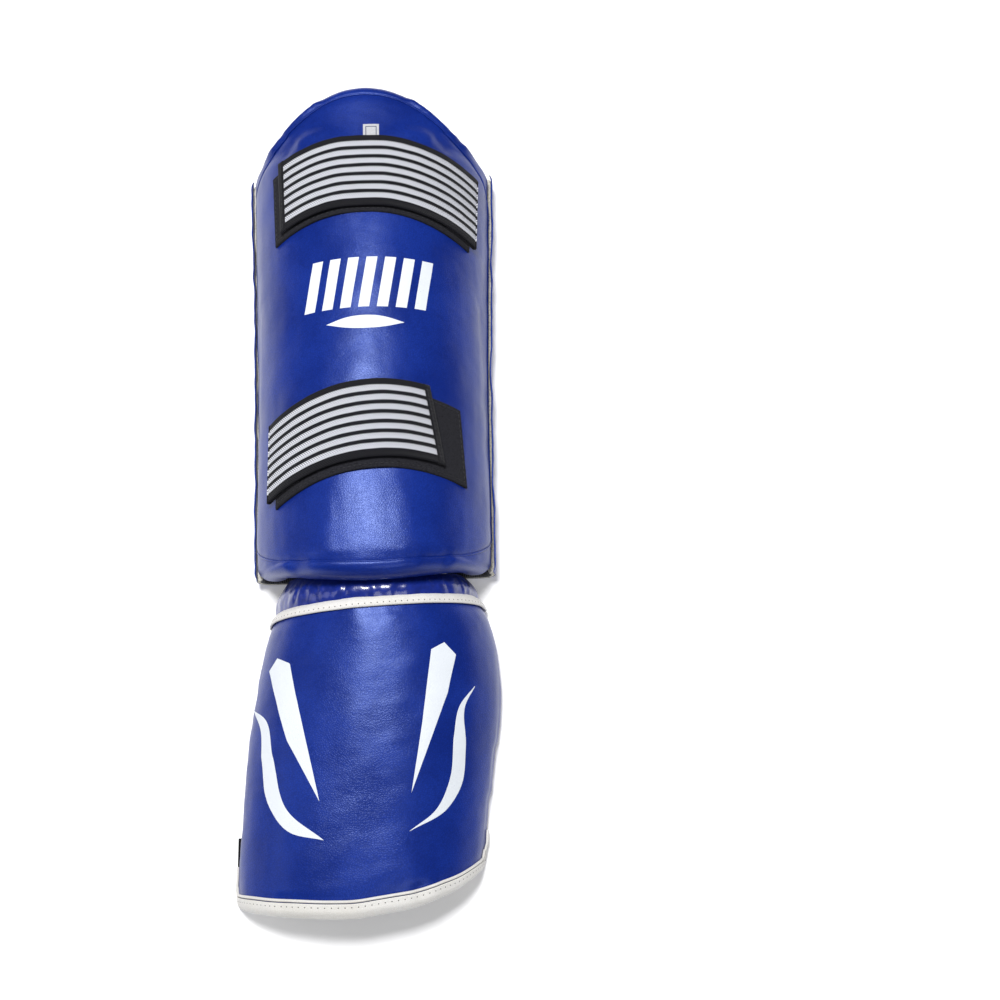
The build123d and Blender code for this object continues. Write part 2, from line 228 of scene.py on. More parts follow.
def make_slab(name, place, s, t, low, high, rounding):
    """A closed sheet over the grid s by t, between two heights, with a rounded rim.

    Its faces stand at middle +- half * sqrt(1 - (1 - e / r)^2), with e the distance to
    the nearest edge and r the rounding, and share their rim. place(s, t, h) bends it.
    """
    S, T = np.meshgrid(s, t, indexing="ij")
    edge = np.minimum(np.minimum(S - s[0], s[-1] - S), np.minimum(T - t[0], t[-1] - T))
    half = (high - low) / 2 * np.sqrt(1 - (1 - np.clip(edge / rounding, 0, 1)) ** 2)
    middle = (high + low) / 2
    upper = place(S, T, middle + half).reshape(-1, 3)
    lower = place(S, T, middle - half).reshape(-1, 3)
    rim = (edge <= 1e-9).ravel()
    below = np.arange(len(upper))
    below[~rim] = len(upper) + np.arange(np.count_nonzero(~rim))
    quads = grid_quads(len(s), len(t))
    flat = np.stack([S.ravel(), T.ravel()], axis=-1)
    return make_piece(
        name,
        np.concatenate([upper, lower[~rim]]),
        np.concatenate([quads, below[quads][:, ::-1]]),
        np.concatenate([flat, flat[~rim]]),
    )


def read_grid(table, rows, columns, r, c):
    """The table's value at (r, c), blended from the four nearest of its evenly spaced cells."""
    i = np.clip((r - rows[0]) / (rows[1] - rows[0]), 0, len(rows) - 1.001)
    j = np.clip((c - columns[0]) / (columns[1] - columns[0]), 0, len(columns) - 1.001)
    i0, j0 = i.astype(int), j.astype(int)
    fi, fj = i - i0, j - j0
    near = table[i0, j0] * (1 - fj) + table[i0, j0 + 1] * fj
    far = table[i0 + 1, j0] * (1 - fj) + table[i0 + 1, j0 + 1] * fj
    return near * (1 - fi) + far * fi


def uneven(seed, s, y, size):
    """Seeded sum of eighteen sine waves, about -1 to 1, with features about size across."""
    source = np.random.default_rng(seed)
    total = np.zeros(np.broadcast(s, y).shape)
    for octave in range(3):
        for wave in range(6):
            heading, phase = source.uniform(0, 2 * math.pi, 2)
            rate = 2 * math.pi / size * source.uniform(0.6, 1.5) * 1.9**octave
            turned = rate * (s * math.cos(heading) + y * math.sin(heading)) + phase
            total = total + np.sin(turned) * 0.55**octave
    return total / 4.0


def blank_body(name, base, side, low_line, high_line, thick, inset):
    """A pad's plain closed body for the cloth run: one ring round its thickness at each place.

    The ring runs over the face at depth inset and back under it at thick - inset, and
    closes towards mid depth at the ends, as sqrt(1 - (1 - e / 12 mm)^2).
    """
    across = np.linspace(-side, side, 49)
    arc = np.concatenate([across, across[::-1]])
    depth = np.concatenate([np.full(49, inset), np.full(49, thick - inset)])
    share = np.linspace(0, 1, 61)[:, None]
    y = low_line(arc) + share * (high_line(arc) - low_line(arc))
    edge = np.minimum(y - low_line(arc), high_line(arc) - y)
    closing = np.sqrt(1 - (1 - np.clip(edge / 0.012, 0.1, 1)) ** 2)
    points = base(np.broadcast_to(arc, y.shape), y, -(thick / 2 + (depth - thick / 2) * closing))
    caps = []
    for start in (0, 60 * 98):
        left = start + np.arange(48)
        right = start + 97 - np.arange(48)
        caps.append(np.stack([left, left + 1, right - 1, right], axis=-1))
    caps[0] = caps[0][:, ::-1]
    quads = np.concatenate([grid_quads(61, 98, closed=True), *caps])
    return make_piece(name, points.reshape(-1, 3), quads)


def swell(body, voxel, pressure, cap):
    """Runs a pad's skin as cloth under pressure from inside; no point moves further than cap."""
    bpy.ops.object.select_all(action="DESELECT")
    bpy.context.view_layer.objects.active = body
    body.select_set(True)
    remesh = body.modifiers.new("even_quads", "REMESH")
    remesh.mode = "VOXEL"
    remesh.voxel_size = voxel
    bpy.ops.object.modifier_apply(modifier=remesh.name)
    rest = np.zeros(len(body.data.vertices) * 3)
    body.data.vertices.foreach_get("co", rest)
    cloth = body.modifiers.new("swell", "CLOTH")
    cloth.settings.quality = 5
    cloth.settings.use_pressure = True
    cloth.settings.uniform_pressure_force = pressure
    cloth.settings.tension_stiffness = 15
    cloth.settings.compression_stiffness = 15
    cloth.settings.bending_stiffness = 0.5
    cloth.settings.effector_weights.gravity = 0
    cloth.point_cache.frame_start = 1
    cloth.point_cache.frame_end = 20
    for number in range(1, 21):
        bpy.context.scene.frame_set(number)
    seen = body.evaluated_get(bpy.context.evaluated_depsgraph_get())
    moved = np.zeros_like(rest)
    seen.data.vertices.foreach_get("co", moved)
    shift = (moved - rest).reshape(-1, 3)
    length = np.linalg.norm(shift, axis=1, keepdims=True)
    shift *= np.minimum(1, cap / np.maximum(length, 1e-9))
    body.modifiers.remove(cloth)
    body.data.vertices.foreach_set("co", rest + shift.ravel())
    body.data.update()
    bpy.context.scene.frame_set(1)


def read_swell(body, base, arcs, places):
    """Height of a swollen body over its base shape, less the median, on a grid of arcs by places."""
    tree = BVHTree.FromObject(body, bpy.context.evaluated_depsgraph_get())
    S, Y = np.meshgrid(arcs, places, indexing="ij")
    start = base(S, Y, 0.03)
    inward = base(S, Y, 0.0) - start
    heights = np.full(S.shape, np.nan)
    for spot in np.ndindex(S.shape):
        hit = tree.ray_cast(Vector(start[spot]), Vector(inward[spot]).normalized(), 0.06)
        if hit[0] is not None:
            heights[spot] = 0.03 - hit[3]
    heights = np.where(np.isnan(heights), np.nanmedian(heights), heights)
    return np.clip(heights - np.nanmedian(heights), -0.0025, 0.0025)


pad_arcs = np.linspace(0.01 - pad_side, pad_side - 0.01, 44)
pad_places = np.linspace(ankle_end + 0.012, knee_end - 0.012, 90)
pad_swell = np.zeros((44, 90))
pad_body = blank_body(
    "pad_body", pad_base, pad_side, ankle_line, knee_line, pad_thick, 0.0015
)
swell(pad_body, 0.006, 4.0, 0.006)
pad_swell = read_swell(pad_body, pad_base, pad_arcs, pad_places)
bpy.data.objects.remove(pad_body)


def pad_skin(s, y, lift):
    """The shin pad's real, uneven face at arc s and place y, raised by lift.

    The cloth run's swelling, broad hollows of 0.4 mm and drag lines of 0.1 mm are added
    to the base, and fade out towards the lining.
    """
    s, y, lift = np.broadcast_arrays(s, y, lift)
    relief = read_grid(pad_swell, pad_arcs, pad_places, s, y)
    relief = relief + 0.0004 * uneven(3, s, y, 0.11) + 0.0001 * uneven(4, s, y, 0.03)
    return pad_base(s, y, lift + relief * np.clip(1 + lift / pad_thick, 0, 1))


end_seam = 0.0085             # of the face's end seams from the outline
side_seam = 0.0055            # of its side seams from the side edges
seam_side = pad_side - side_seam
knee_corner_fall, ankle_corner_fall = 0.014, 0.013
corner_start = 0.060          # arc at which the seams start to fall away


def corner_drop(s, fall):
    """Extra inset of an end seam: grows with the square of the arc past corner_start."""
    return fall * np.clip((np.abs(s) - corner_start) / (seam_side - corner_start), 0, 1) ** 2


def knee_seam(s):
    """Place of the face's seam at the knee end."""
    return knee_line(s) - end_seam - corner_drop(s, knee_corner_fall)


def ankle_seam(s):
    """Place of the face's seam at the ankle end."""
    return ankle_line(s) + end_seam + corner_drop(s, ankle_corner_fall)


face_length = float(knee_seam(0.0) - ankle_seam(0.0))


def face_place(s, t, h):
    """Lays the face's flat grid on the pad, t running from the ankle seam to the knee seam.

    Its last 6 mm dip into the seams by 0.9 mm, with the square of the distance.
    """
    y = ankle_seam(s) + t / face_length * (knee_seam(s) - ankle_seam(s))
    near = np.minimum(np.minimum(t, face_length - t), seam_side - np.abs(s))
    return pad_skin(s, y, h - 0.0009 * (1 - np.clip(near / 0.006, 0, 1)) ** 2)


def add_group(name, inputs, outputs):
    """A shader node group with named float, vector or colour sockets, and its two end nodes."""
    group = bpy.data.node_groups.new(name, "ShaderNodeTree")
    for label, kind, value in inputs:
        item = group.interface.new_socket(label, in_out="INPUT", socket_type=kind)
        if value is not None:
            item.default_value = value
    for label, kind in outputs:
        group.interface.new_socket(label, in_out="OUTPUT", socket_type=kind)
    return group, group.nodes.new("NodeGroupInput"), group.nodes.new("NodeGroupOutput")


def do_math(tree, operation, first, second=None):
    """A Math node on two values or sockets; returns its result."""
    node = tree.nodes.new("ShaderNodeMath")
    node.operation = operation
    for socket, value in zip(node.inputs, (first, second)):
        if isinstance(value, (int, float)):
            socket.default_value = value
        elif value is not None:
            tree.links.new(value, socket)
    return node.outputs[0]


def ramp_between(tree, value, low, high, start=0.0, end=1.0):
    """Map Range node, smooth: start where value is low, end where it is high."""
    node = tree.nodes.new("ShaderNodeMapRange")
    node.interpolation_type = "SMOOTHSTEP"
    tree.links.new(value, node.inputs["Value"])
    for label, number in zip(("From Min", "From Max", "To Min", "To Max"), (low, high, start, end)):
        node.inputs[label].default_value = number
    return node.outputs["Result"]


def mix_colors(tree, share, first, second):
    """A colour mix by share; first and second are colours or sockets."""
    node = tree.nodes.new("ShaderNodeMix")
    node.data_type = "RGBA"
    if isinstance(share, (int, float)):
        node.inputs["Factor"].default_value = share
    else:
        tree.links.new(share, node.inputs["Factor"])
    for socket, color in ((node.inputs[6], first), (node.inputs[7], second)):
        if isinstance(color, tuple):
            socket.default_value = (*color, 1.0)
        else:
            tree.links.new(color, socket)
    return node.outputs[2]


def add_noise(tree, vector, scale, detail, roughness=0.5):
    """A 3-D noise texture on vector; returns its value."""
    node = tree.nodes.new("ShaderNodeTexNoise")
    node.inputs["Scale"].default_value = scale
    node.inputs["Detail"].default_value = detail
    node.inputs["Roughness"].default_value = roughness
    tree.links.new(vector, node.inputs["Vector"])
    return node.outputs["Fac"]


def link_bump(tree, shader, height, distance, strength=1.0):
    """Sends a height to the shader's normal through a Bump node."""
    node = tree.nodes.new("ShaderNodeBump")
    node.inputs["Distance"].default_value = distance
    node.inputs["Strength"].default_value = strength
    tree.links.new(height, node.inputs["Height"])
    tree.links.new(node.outputs["Normal"], shader.inputs["Normal"])


def place_group(tree, group, **values):
    """Puts a group into a tree; values are numbers, or sockets to link, by input name."""
    node = tree.nodes.new("ShaderNodeGroup")
    node.node_tree = group
    for label, value in values.items():
        if isinstance(value, (int, float)):
            node.inputs[label].default_value = value
        else:
            tree.links.new(value, node.inputs[label])
    return node


# pebble grain: voronoi cells with sunken borders, a finer set between them, and a slow
# unevenness that gives the tone and gloss masks
pebble_group, pebble_in, pebble_out = add_group(
    "pebble_grain",
    [("Vector", "NodeSocketVector", None), ("Cell", "NodeSocketFloat", 0.0011)],
    [("Height", "NodeSocketFloat"), ("Crease", "NodeSocketFloat"), ("Tone", "NodeSocketFloat")],
)
pebble_scale = do_math(pebble_group, "DIVIDE", 1.0, pebble_in.outputs["Cell"])
pebble_bend = pebble_group.nodes.new("ShaderNodeTexNoise")
pebble_bend.inputs["Detail"].default_value = 1.0
pebble_group.links.new(pebble_in.outputs["Vector"], pebble_bend.inputs["Vector"])
pebble_group.links.new(do_math(pebble_group, "MULTIPLY", pebble_scale, 0.5), pebble_bend.inputs["Scale"])
pebble_push = pebble_group.nodes.new("ShaderNodeVectorMath")
pebble_push.operation = "MULTIPLY_ADD"
pebble_push.inputs[1].default_value = (0.0008, 0.0008, 0.0008)
pebble_group.links.new(pebble_bend.outputs["Color"], pebble_push.inputs[0])
pebble_group.links.new(pebble_in.outputs["Vector"], pebble_push.inputs[2])
pebble_borders = []
for share in (1.0, 2.3):
    cells = pebble_group.nodes.new("ShaderNodeTexVoronoi")
    cells.feature = "DISTANCE_TO_EDGE"
    pebble_group.links.new(pebble_push.outputs[0], cells.inputs["Vector"])
    pebble_group.links.new(do_math(pebble_group, "MULTIPLY", pebble_scale, share), cells.inputs["Scale"])
    pebble_borders.append(ramp_between(pebble_group, cells.outputs["Distance"], 0.0, 0.26))
pebble_height = do_math(
    pebble_group, "ADD", pebble_borders[0], do_math(pebble_group, "MULTIPLY", pebble_borders[1], 0.35)
)
pebble_group.links.new(pebble_height, pebble_out.inputs["Height"])
pebble_group.links.new(
    do_math(pebble_group, "SUBTRACT", 1.0, pebble_borders[0]), pebble_out.inputs["Crease"]
)
pebble_group.links.new(
    add_noise(pebble_group, pebble_in.outputs["Vector"], 28.0, 4.0), pebble_out.inputs["Tone"]
)


def coated_leather(name, deep, light, roughness, cell, relief):
    """Coated leather cloth: pebble grain in relief, painted shade darkening its creases, uneven gloss."""
    material, tree, shader = start_material(name, deep, roughness)
    spot = tree.nodes.new("ShaderNodeTexCoord").outputs["Object"]
    grain = place_group(tree, pebble_group, Vector=spot, Cell=cell)
    tone = mix_colors(tree, ramp_between(tree, grain.outputs["Tone"], 0.35, 0.65), deep, light)
    # painted shade: the grain's sunken creases are darkened towards 0.45 of the deep blue
    crease = do_math(tree, "MULTIPLY", grain.outputs["Crease"], 0.45)
    dark = tuple(0.45 * channel for channel in deep)
    tree.links.new(mix_colors(tree, crease, tone, dark), shader.inputs["Base Color"])
    gloss = do_math(tree, "MULTIPLY_ADD", grain.outputs["Tone"], 0.16)
    gloss.node.inputs[2].default_value = roughness - 0.08
    tree.links.new(gloss, shader.inputs["Roughness"])
    shader.inputs["Specular IOR Level"].default_value = 0.6
    shader.inputs["Specular Tint"].default_value = (0.38, 0.5, 1.0, 1.0)
    link_bump(tree, shader, grain.outputs["Height"], relief)
    return material


blue_leather = coated_leather(
    "blue_coated_leather", (0.0042, 0.0195, 0.20), (0.0065, 0.028, 0.26), 0.33, 0.0013, 0.00003
)


def finish_piece(piece, material, body):
    """Gives a piece its material and the body that it moves with."""
    piece.data.materials.append(material)
    if body is not None:
        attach(piece, body)
    return piece


shin_face = make_slab(
    "shin_front_cover_skin",
    face_place,
    rim_grid(-seam_side, seam_side, 0.0018, 0.0009),
    rim_grid(0.0, face_length, 0.0018, 0.0009),
    -cover_thick,
    0.0,
    0.0009,
)
finish_piece(shin_face, blue_leather, "shin")
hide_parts("shin_front_cover")

# ------------------------------------------------------------------ gussets and seams
# Strips of the same leather cloth close the pad's thickness all round: each starts at
# the face's seam, rolls over the edge of the foam and is sewn to the lining inside.
# A narrow folded welt stands in the seam, and the strips meet in short corner seams.
outline_corner = 0.010        # rounding of the pad's corners, in plan
lining_seam = 0.003           # of the inner seam, from where the roll ends
side_recess = 0.00135         # the sides lie under the wings' covers
seam_dip = 0.0009

ring_turn = np.linspace(0, math.pi / 2, 13)
ring_inner = pad_side - outline_corner
ring_across = np.linspace(-ring_inner, ring_inner, 61)
ring_corner = ring_inner + outline_corner * np.sin(ring_turn)
knee_shoulder = float(knee_line(ring_inner)) - outline_corner
ankle_shoulder = float(ankle_line(ring_inner)) + outline_corner
ring_up = np.linspace(ankle_shoulder, knee_shoulder, 61)[1:-1]
knee_round = knee_shoulder + outline_corner * np.cos(ring_turn)
ankle_round = ankle_shoulder - outline_corner * np.cos(ring_turn)
end_part = np.cos(ring_turn) ** 2

# once round the outline, from the left end of the knee edge: arc, place, share of an end
ring_s = np.concatenate([
    ring_across, ring_corner[1:], np.full(59, pad_side), ring_corner[:0:-1],
    ring_across[::-1], -ring_corner[1:], np.full(59, -pad_side), -ring_corner[:0:-1],
])
ring_y = np.concatenate([
    knee_line(ring_across), knee_round[1:], ring_up[::-1], ankle_round[:0:-1],
    ankle_line(ring_across[::-1]), ankle_round[1:], ring_up, knee_round[:0:-1],
])
ring_end = np.concatenate([
    np.ones(61), end_part[1:], np.zeros(59), end_part[:0:-1],
    np.ones(61), end_part[1:], np.zeros(59), end_part[:0:-1],
])
seam_s = np.clip(ring_s, -seam_side, seam_side)
seam_y = np.clip(ring_y, ankle_seam(seam_s), knee_seam(seam_s))
seam_reach = np.hypot(seam_s - ring_s, seam_y - ring_y)
gusset_run = 0.048            # nominal length of a gusset's section, seam to seam


def gusset_place(stations):
    """Returns the function that lays a gusset's flat strip on these stations of the ring.

    Its section runs from the seam along the face to the roll, round the half ellipse
    e = roll (1 - sin a), depth = recess + half thickness (1 - cos a), and on to the
    lining's seam; h is measured along the section's outward normal.
    """
    steps = np.hypot(np.diff(ring_s[stations]), np.diff(ring_y[stations]))
    run = np.concatenate([[0.0], np.cumsum(steps)])

    def section(w, q):
        share, length = np.interp(w, run, ring_end[stations]), np.interp(w, run, seam_reach[stations])
        roll = side_roll + (pad_roll - side_roll) * share
        recess = side_recess * (1 - share)
        angle = math.pi * np.clip((q - 0.3) / 0.55, 0, 1)
        lead = np.clip(1 - q / 0.3, 0, 1)
        inset = roll * (1 - np.sin(angle)) + (length - roll) * lead
        inset = inset + lining_seam * np.clip((q - 0.85) / 0.15, 0, 1)
        depth = recess + (pad_thick - recess) / 2 * (1 - np.cos(angle))
        return inset, depth + seam_dip * lead**3

    def place(w, t, h):
        q = t / gusset_run
        inset, depth = section(w, q)
        ahead, behind = section(w, np.minimum(q + 0.01, 1)), section(w, np.maximum(q - 0.01, 0))
        run_inset, run_depth = ahead[0] - behind[0], ahead[1] - behind[1]
        size = np.hypot(run_inset, run_depth)
        inset, depth = inset - h * run_depth / size, depth + h * run_inset / size
        outer_s, outer_y = np.interp(w, run, ring_s[stations]), np.interp(w, run, ring_y[stations])
        share = inset / np.interp(w, run, seam_reach[stations])
        s = outer_s + share * (np.interp(w, run, seam_s[stations]) - outer_s)
        y = outer_y + share * (np.interp(w, run, seam_y[stations]) - outer_y)
        return pad_skin(s, y, -depth)

    return place, run[-1]


for gusset_name, first, last in (
    ("knee_gusset", 282 - 288, 67),
    ("right_side_gusset", 67, 138),
    ("ankle_gusset", 138, 211),
    ("left_side_gusset", 211, 282),
):
    gusset_stations = np.arange(first, last + 1) % len(ring_s)
    lay_gusset, gusset_length = gusset_place(gusset_stations)
    gusset = make_slab(
        gusset_name + "_strip",
        lay_gusset,
        rim_grid(0.0, gusset_length, 0.0024, 0.0008),
        rim_grid(0.0, gusset_run, 0.0011, 0.0008),
        -0.0015,
        0.0,
        0.0008,
    )
    finish_piece(gusset, blue_leather, "shin")
    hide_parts(gusset_name)


def tube_round(name, path, up, radius, sides=8, closed=True):
    """A round tube along a path: rings of sides points in the plane of up and the path's side."""
    along = np.roll(path, -1, axis=0) - np.roll(path, 1, axis=0)
    if not closed:
        along[0], along[-1] = path[1] - path[0], path[-1] - path[-2]
    along /= np.linalg.norm(along, axis=1, keepdims=True)
    beside = np.cross(along, up)
    beside /= np.linalg.norm(beside, axis=1, keepdims=True)
    over = np.cross(beside, along)
    angle = np.linspace(0, 2 * math.pi, sides, endpoint=False)
    ring = path[:, None] + radius * (
        np.cos(angle)[:, None] * beside[:, None] + np.sin(angle)[:, None] * over[:, None]
    )
    points = ring.reshape(-1, 3)
    rows = len(path)
    quads = grid_quads(rows, sides, closed=True)
    if closed:
        first, last = np.arange(sides), (rows - 1) * sides + np.arange(sides)
        join = np.stack([last, first, np.roll(first, -1), np.roll(last, -1)], axis=-1)
        quads = np.concatenate([quads, join])
    else:
        for row in (0, rows - 1):
            ends = row * sides + np.arange(sides)
            half = sides // 2
            cap = np.stack([
                ends[: half - 1], ends[1:half], ends[::-1][: half][1:], ends[::-1][: half - 1]
            ], axis=-1)
            quads = np.concatenate([quads, cap if row == 0 else cap[:, ::-1]])
    return make_piece(name, points, quads)


def soften_loop(values, rounds):
    """Averages a closed loop with its neighbours, one quarter, one half, one quarter, some rounds."""
    for _ in range(rounds):
        values = (np.roll(values, 1, axis=0) + 2 * values + np.roll(values, -1, axis=0)) / 4
    return values


welt_across = np.linspace(-seam_side, seam_side, 91)
welt_up = np.linspace(float(ankle_seam(seam_side)), float(knee_seam(seam_side)), 121)[1:-1]
welt_s = np.concatenate(
    [welt_across, np.full(119, seam_side), welt_across[::-1], np.full(119, -seam_side)]
)
welt_y = np.concatenate(
    [knee_seam(welt_across), welt_up[::-1], ankle_seam(welt_across[::-1]), welt_up]
)
welt_s, welt_y = soften_loop(welt_s, 3), soften_loop(welt_y, 3)
welt_path = pad_skin(welt_s, welt_y, -0.0006)
welt = tube_round("face_seam_welt", welt_path, pad_skin(welt_s, welt_y, 0.01) - welt_path, 0.00062)
finish_piece(welt, blue_leather, "shin")

# ------------------------------------------------------------------ foams and lining
# Under the face lie a firm foam sheet and a softer one, glued in layers and cut with
# rounded edges. A brushed knit lining closes the channel for the leg; its edges run
# into the gussets.


def ply_place(clear):
    """Returns the function that lays a ply, s and t shares from -1 to 1, inside the gussets.

    At depth d the ply ends clear + roll (1 - sqrt(1 - (1 - 2 d / thick)^2)) from the outline.
    """

    def place(s, t, h):
        level = np.clip(1 + 2 * h / pad_thick, -0.98, 0.98)
        rounding = 1 - np.sqrt(1 - level**2)
        arc = s * (pad_side - clear - side_roll * rounding)
        inset = clear + pad_roll * rounding
        corner = 0.006 * np.clip((np.abs(arc) - ring_inner) / outline_corner, 0, 1) ** 2
        top, low = knee_line(arc) - inset - corner, ankle_line(arc) + inset + corner
        return pad_skin(arc, (top + low) / 2 + t * (top - low) / 2, h)

    return place


def sheet_foam(name, color, cell):
    """Closed-cell sheet foam: even tone with small open cells cut at its faces, their hollows darkened with
    painted shade.
    """
    material, tree, shader = start_material(name, color, 0.85)
    spot = tree.nodes.new("ShaderNodeTexCoord").outputs["Object"]
    cells = tree.nodes.new("ShaderNodeTexVoronoi")
    cells.inputs["Scale"].default_value = 1 / cell
    tree.links.new(spot, cells.inputs["Vector"])
    hole = ramp_between(tree, cells.outputs["Distance"], 0.1, 0.55)
    # painted shade: the open cells are darkened to 0.6 of the foam's colour
    dark = tuple(0.6 * channel for channel in color)
    tree.links.new(mix_colors(tree, hole, dark, color), shader.inputs["Base Color"])
    link_bump(tree, shader, hole, 0.0002)
    return material


# knit or woven cloth on a flat map in metres: ribs along one way, broken along the other
cloth_group, cloth_in, cloth_out = add_group(
    "crossed_yarns",
    [("Vector", "NodeSocketVector", None), ("Across", "NodeSocketFloat", 0.001),
     ("Along", "NodeSocketFloat", 0.001), ("Slant", "NodeSocketFloat", 0.0)],
    [("Height", "NodeSocketFloat"), ("Fuzz", "NodeSocketFloat")],
)
cloth_split = cloth_group.nodes.new("ShaderNodeSeparateXYZ")
cloth_group.links.new(cloth_in.outputs["Vector"], cloth_split.inputs[0])
cloth_shift = do_math(cloth_group, "MULTIPLY", cloth_split.outputs["Y"], cloth_in.outputs["Slant"])
cloth_waves = []
for flat_way, pitch, extra in (("X", "Across", cloth_shift), ("Y", "Along", None)):
    run = cloth_split.outputs[flat_way]
    if extra is not None:
        run = do_math(cloth_group, "ADD", run, extra)
    turns = do_math(cloth_group, "DIVIDE", run, cloth_in.outputs[pitch])
    wave = do_math(cloth_group, "SINE", do_math(cloth_group, "MULTIPLY", turns, 2 * math.pi))
    cloth_waves.append(wave)
cloth_cross = do_math(cloth_group, "MULTIPLY", cloth_waves[0], cloth_waves[1])
cloth_sum = do_math(cloth_group, "ADD", do_math(cloth_group, "MULTIPLY", cloth_waves[0], 0.5), cloth_cross)
cloth_fuzz = add_noise(cloth_group, cloth_in.outputs["Vector"], 2600.0, 2.0)
cloth_group.links.new(
    ramp_between(cloth_group, do_math(cloth_group, "ADD", cloth_sum, cloth_fuzz), -0.8, 1.8),
    cloth_out.inputs["Height"],
)
cloth_group.links.new(cloth_fuzz, cloth_out.inputs["Fuzz"])


def woven_cloth(name, color, across, along, slant, relief, sheen, roughness=0.8):
    """Cloth whose yarns show as relief, with painted shade darkening the gaps between them, on the piece's
    flat map.
    """
    material, tree, shader = start_material(name, color, roughness)
    spot = tree.nodes.new("ShaderNodeUVMap")
    spot.uv_map = "flat"
    yarns = place_group(
        tree, cloth_group, Vector=spot.outputs["UV"], Across=across, Along=along, Slant=slant
    )
    # painted shade: the low gaps between yarns are darkened to 0.45 of the colour
    dark = tuple(0.45 * channel for channel in color)
    tree.links.new(
        mix_colors(tree, yarns.outputs["Height"], dark, color), shader.inputs["Base Color"]
    )
    shader.inputs["Sheen Weight"].default_value = sheen
    shader.inputs["Sheen Roughness"].default_value = 0.5
    link_bump(tree, shader, yarns.outputs["Height"], relief)
    shader.inputs["Specular IOR Level"].default_value = 0.15
    return material, tree, shader, yarns


firm_foam = sheet_foam("firm_sheet_foam", (0.10, 0.11, 0.12), 0.0011)
soft_foam = sheet_foam("soft_sheet_foam", (0.62, 0.60, 0.52), 0.0016)
lining_cloth, _, _, _ = woven_cloth(
    "brushed_knit_lining", (0.012, 0.014, 0.022), 0.0011, 0.0014, 0.4, 0.0002, 0.35
)

for ply_name, cad_name, top, bottom, material, slot, clear, grid in (
    ("shin_foam_core_sheet", "shin_foam_core", -0.0018, -0.0166, firm_foam, "firm_foam", 0.0018, 0.05),
    ("shin_comfort_foam_sheet", "shin_comfort_foam", -0.0168, -0.0226, soft_foam, "soft_foam", 0.0018, 0.05),
):
    ply = make_slab(
        ply_name, ply_place(clear), rim_grid(-1, 1, grid, 0.012), rim_grid(-1, 1, grid / 2, 0.006),
        bottom, top, 0.012,
    )
    finish_piece(ply, material, "shin")
    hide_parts(cad_name)

lining_reach = pad_side - side_roll - 0.0012
lining_span = float(knee_line(0.0) - ankle_line(0.0)) - 2 * pad_roll - 0.0024


def lining_place(s, t, h):
    """Lays the lining's flat grid on the channel, between the gussets' inner seams.

    It puffs by up to 0.8 mm between the seams, with the product of two half sines.
    """
    y = (knee_line(s) + ankle_line(s)) / 2
    y = y + t / lining_span * (knee_line(s) - ankle_line(s) - 2 * pad_roll - 0.0024)
    puff = np.cos(s / lining_reach * math.pi / 2) * np.cos(t / lining_span * math.pi)
    return pad_base(s, y, h - 0.0008 * puff - 0.0002 * uneven(6, s, y, 0.03))


shin_lining = make_slab(
    "shin_lining_cloth",
    lining_place,
    rim_grid(-lining_reach, lining_reach, 0.0030, 0.0007),
    rim_grid(-lining_span / 2, lining_span / 2, 0.0030, 0.0007),
    -0.0243,
    -0.0229,
    0.0007,
)
finish_piece(shin_lining, lining_cloth, "shin")
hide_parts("shin_lining")

# ------------------------------------------------------------------ side wings
# A softer wing hangs from each long seam of the pad and wraps the calf: leather cloth
# outside, thin foam, knit lining inside, sewn flat along its free edge. At rest it is
# curled under the pad and lies on the table.
wing_head = 0.0192            # where the cover is sewn into the face's side seam
wing_foam_head = 0.0136
wing_curl = 0.010
wing_flap = 0.025
wing_thick = 0.008
wing_rounding = 0.010         # of the free edge's corners
wing_ends = (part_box("right_wing_cover")[0].y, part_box("right_wing_cover")[1].y + end_puff)


def wing_place(side, head):
    """Returns the function that bends a wing's flat ply: t down the wall, round the curl and in.

    Wall: x = half width, z = head - t. Curl: a quarter circle of 10 mm. Flap: z = 0. h is
    measured inwards; near the free edge and the ends the plies close on mid thickness.
    """
    wall = head - wing_curl
    quarter = wing_curl * math.pi / 2

    def place(s, t, h):
        share = (s + 1) / 2
        angle = np.clip((t - wall) / wing_curl, 0, math.pi / 2)
        flap = np.clip(t - wall - quarter, 0, None)
        free = wall + quarter + wing_flap
        end = 0.5 * (1 - np.abs(s)) * 0.32
        near_edge = np.minimum(np.clip((free - t) / 0.009, 0, 1), np.clip(end / 0.009, 0, 1))
        squeeze = 0.30 + 0.70 * np.sqrt(1 - (1 - near_edge) ** 2)
        level = wing_thick / 2 + (h - wing_thick / 2) * squeeze
        level = level - (1 - squeeze) * 0.0022 * np.clip(t / wall, 0, 1)
        turned = 1 - np.clip((free - t) / wing_rounding, 0, 1)
        round_off = wing_rounding * (1 - np.sqrt(1 - turned**2))
        low, high = wing_ends[0] + round_off, wing_ends[1] - round_off
        y = low + share * (high - low)
        dent = 0.0007 * (1 + uneven(21 + int(side), t, y, 0.05)) * np.clip(near_edge, 0, 1)
        level = level + dent * np.clip(1 - h / wing_thick, 0, 1)
        width = through(y, pad_stations, pad_half_widths)
        x = width - wing_curl + (wing_curl - level) * np.cos(angle) - flap
        z = wing_curl - (wing_curl - level) * np.sin(angle) + np.clip(wall - t, 0, None)
        return np.stack([side * x, y, z], axis=-1)

    return place, wall + quarter + wing_flap


